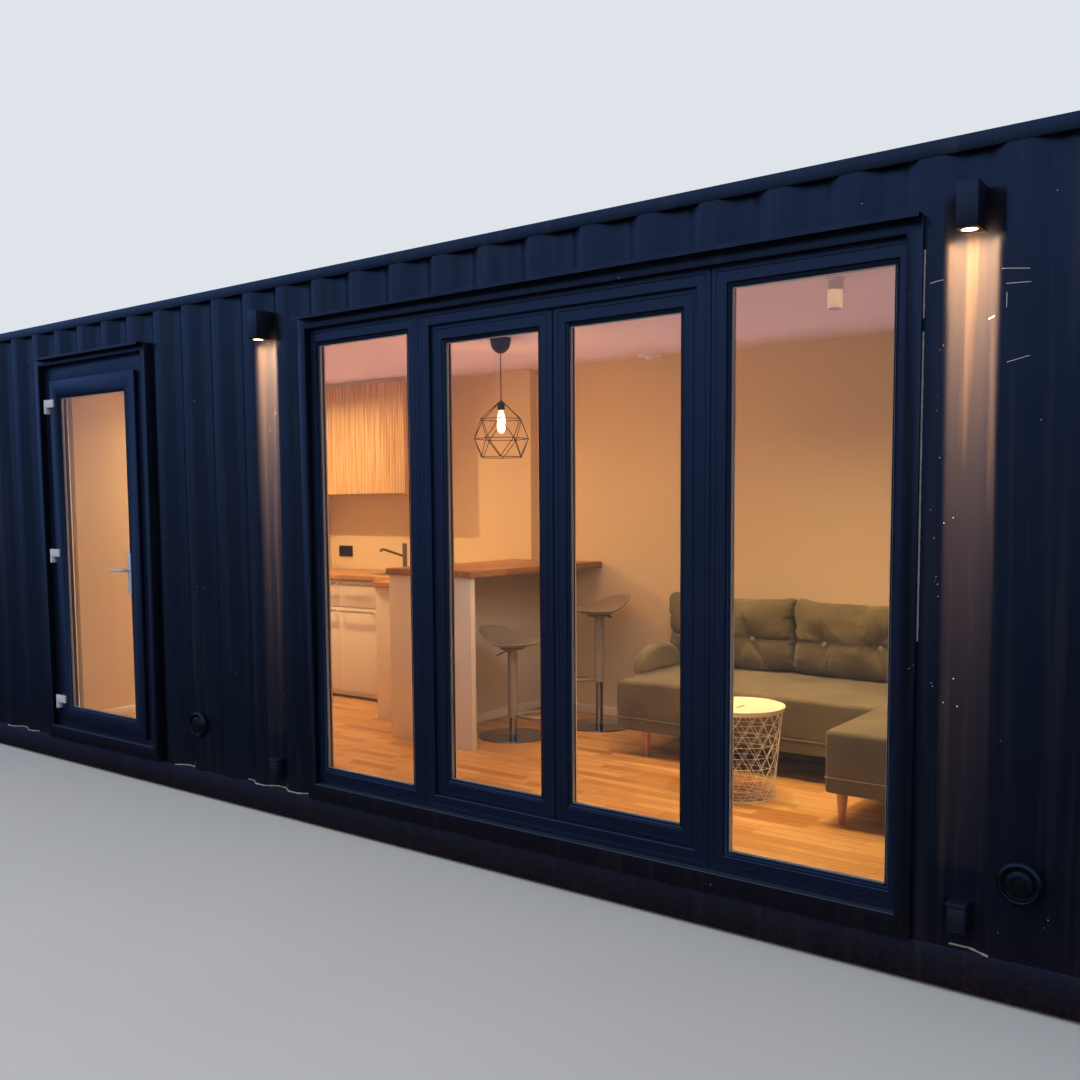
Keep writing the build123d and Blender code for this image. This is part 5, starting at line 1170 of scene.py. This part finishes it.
CUSHIONS = (("left", 2.585, 3.427), ("middle", 3.437, 4.187), ("right", 4.197, 4.950))
button_cloth = woven_cloth("olive_button_cloth", "#92866a", "#a89c7c")
bm = bmesh.new()
for name, left, right in CUSHIONS:
    for x in fibre_cushion(name + "_back_cushion", left, right):
        turned(bm, [(0, -0.004), (0.013, -0.002), (0.0155, 0.002), (0.012, 0.008), (0, 0.0105)],
               Matrix.Translation((x, 0.951, SEAM_LEVEL)) @ Matrix.Rotation(pi / 2, 4, "X"), 20)
buttons = put("sofa_cushion_buttons", bm, button_cloth)


def turned_beech(name):
    """Beech turned on a lathe: pale pinkish brown with short upright flecks."""
    made, tree, shader, place = new_material(name)
    along = add(tree, "Mapping", {"Vector": place, "Scale": (240, 240, 22)})
    fleck = add(tree, "TexNoise", {"Vector": along, "Scale": 1.0, "Detail": 3.0})
    tone = add(tree, "Mix", {0: fleck, 6: linear("#b98255"), 7: linear("#d39f70")},
               data_type="RGBA")
    finish(shader, tone, fleck, (0.35, 0.5), fleck, 0.0002)
    return made


bm = bmesh.new()
for x, y in ((2.843, 0.304), (2.843, 1.024), (4.253, -0.306), (4.893, -0.306), (4.893, 1.024)):
    turned(bm, [(0, floor_top), (0.012, floor_top), (0.0145, floor_top + 0.003), (0.026, 0.392),
                (0.026, 0.3995), (0, 0.3995)], Matrix.Translation((x, y, 0)), 28)
put("sofa_turned_legs", bm, turned_beech("turned_beech"), replaced=["sofa_legs"])


# The side table: a basket of welded wire in a triangle lattice that widens upwards, powder coated
# pale cream, with a pressed steel tray as its lid.
def lattice_basket(name, sizes):
    """Geometry Nodes: rings and slanting wires of a cone, every other ring turned half a step."""
    tree = bpy.data.node_groups.new(name, "GeometryNodeTree")
    for label, kind in (("Low radius", "Float"), ("Top radius", "Float"), ("Height", "Float"),
                        ("Wire radius", "Float"), ("Columns", "Int"), ("Rows", "Int"),
                        ("Material", "Material")):
        tree.interface.new_socket(label, in_out="INPUT", socket_type="NodeSocket" + kind)
    tree.interface.new_socket("Geometry", in_out="OUTPUT", socket_type="NodeSocketGeometry")
    given = add(tree, "NodeGroupInput").outputs
    cone = add(tree, "GeometryNodeMeshCone",
               {"Vertices": given["Columns"], "Side Segments": given["Rows"],
                "Radius Top": given["Top radius"], "Radius Bottom": given["Low radius"],
                "Depth": given["Height"]}, fill_type="NONE")
    place = add(tree, "GeometryNodeInputPosition")
    level = add(tree, "SeparateXYZ", {0: place}).outputs["Z"]
    share = add(tree, "Math", {0: level, 1: given["Height"]}, operation="DIVIDE")
    row = add(tree, "Math", {0: share, 1: given["Rows"]}, operation="MULTIPLY")
    whole = add(tree, "Math", {0: row}, operation="ROUND")
    odd = add(tree, "Math", {0: whole, 1: 2.0}, operation="MODULO")
    half_step = add(tree, "Math", {0: pi, 1: given["Columns"]}, operation="DIVIDE")
    angle = add(tree, "Math", {0: odd, 1: half_step}, operation="MULTIPLY")
    spun = add(tree, "VectorRotate", {"Vector": place, "Angle": angle}, rotation_type="Z_AXIS")
    moved = add(tree, "GeometryNodeSetPosition", {"Geometry": cone.outputs["Mesh"],
                                                  "Position": spun})
    cut = add(tree, "GeometryNodeTriangulate", {"Mesh": moved}, quad_method="SHORTEST_DIAGONAL")
    lines = add(tree, "GeometryNodeMeshToCurve", {"Mesh": cut})
    round_wire = add(tree, "GeometryNodeCurvePrimitiveCircle",
                     {"Resolution": 6, "Radius": given["Wire radius"]})
    solid = add(tree, "GeometryNodeCurveToMesh",
                {"Curve": lines, "Profile Curve": round_wire.outputs["Curve"], "Fill Caps": True})
    real = add(tree, "GeometryNodeRealizeInstances", {"Geometry": solid})
    dressed = add(tree, "GeometryNodeSetMaterial", {"Geometry": real,
                                                    "Material": given["Material"]})
    add(tree, "NodeGroupOutput", {"Geometry": dressed})
    return grown(name, tree, sizes)


def grown(name, tree, sizes):
    """Runs a geometry tree on an empty mesh and gives back the plain mesh that it grows."""
    holder = bpy.data.objects.new(name, bpy.data.meshes.new(name + "_seed"))
    bpy.context.scene.collection.objects.link(holder)
    grower = holder.modifiers.new("grow", "NODES")
    grower.node_group = tree
    sockets = {item.name: item.identifier for item in tree.interface.items_tree
               if item.item_type == "SOCKET" and item.in_out == "INPUT"}
    for label, value in sizes.items():
        grower[sockets[label]] = value
    evaluated = holder.evaluated_get(bpy.context.evaluated_depsgraph_get())
    mesh = bpy.data.meshes.new_from_object(evaluated)
    mesh.name = name
    bpy.data.objects.remove(holder)
    return mesh


table_low, table_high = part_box("side_table")
table_x, table_y = (table_low.x + table_high.x) / 2, (table_low.y + table_high.y) / 2
RIM_RING, BASE_WIRE = 0.164, 0.002
cream_steel = coated("cream_powder_coated_steel", "#e9e2c8", "#f1ebd4", 0.05, 0.38, 0.001, 0.0001)
basket = lattice_basket("table_wire_basket", {
    "Low radius": 0.166, "Top radius": 0.205, "Height": table_high.z - floor_top - 0.018,
    "Wire radius": 0.0014, "Columns": 18, "Rows": 8, "Material": cream_steel})
basket.transform(Matrix.Translation((table_x, table_y, floor_top + 0.003)))
put("table_wire_basket", basket, cream_steel, replaced=["side_table"],
    smooth=60)
bm = bmesh.new()
middle = Vector((table_x, table_y, floor_top + 0.005))
for radius in (RIM_RING, 0.110, 0.056):
    ring = [middle + around(radius, pi * k / 18) for k in range(37)]
    for start, end in zip(ring, ring[1:]):
        wire(bm, start, end, BASE_WIRE)
for k in range(12):
    wire(bm, middle + around(0.056, pi * k / 6), middle + around(RIM_RING, pi * k / 6), BASE_WIRE)
put("table_basket_base", bm, cream_steel)
bm = bmesh.new()
turned(bm, [(0, -0.010), (0.200, -0.010), (0.208, -0.008), (0.2125, -0.001), (0.216, 0.0),
            (0.2175, -0.002), (0.2125, -0.022), (0.205, -0.026), (0.198, -0.024), (0.192, -0.0125),
            (0, -0.0125)], Matrix.Translation((table_x, table_y, table_high.z)), 64)
put("table_tray_top", bm, cream_steel)
soft_lamp("tray_light", (table_x, table_y, 2.55), DOWN, 0.1, 0.1, 12, "#e6ffb0", 16)
# A thin black slab on the tray stands for its slot: the black is painted shade inside the slot.
slabs("table_tray_slot_shade", black_plastic, "white_fitting",
      ((table_x - 0.006, table_y - 0.040, table_high.z - 0.0125),
       (table_x + 0.006, table_y + 0.040, table_high.z - 0.0092), 0.0008))
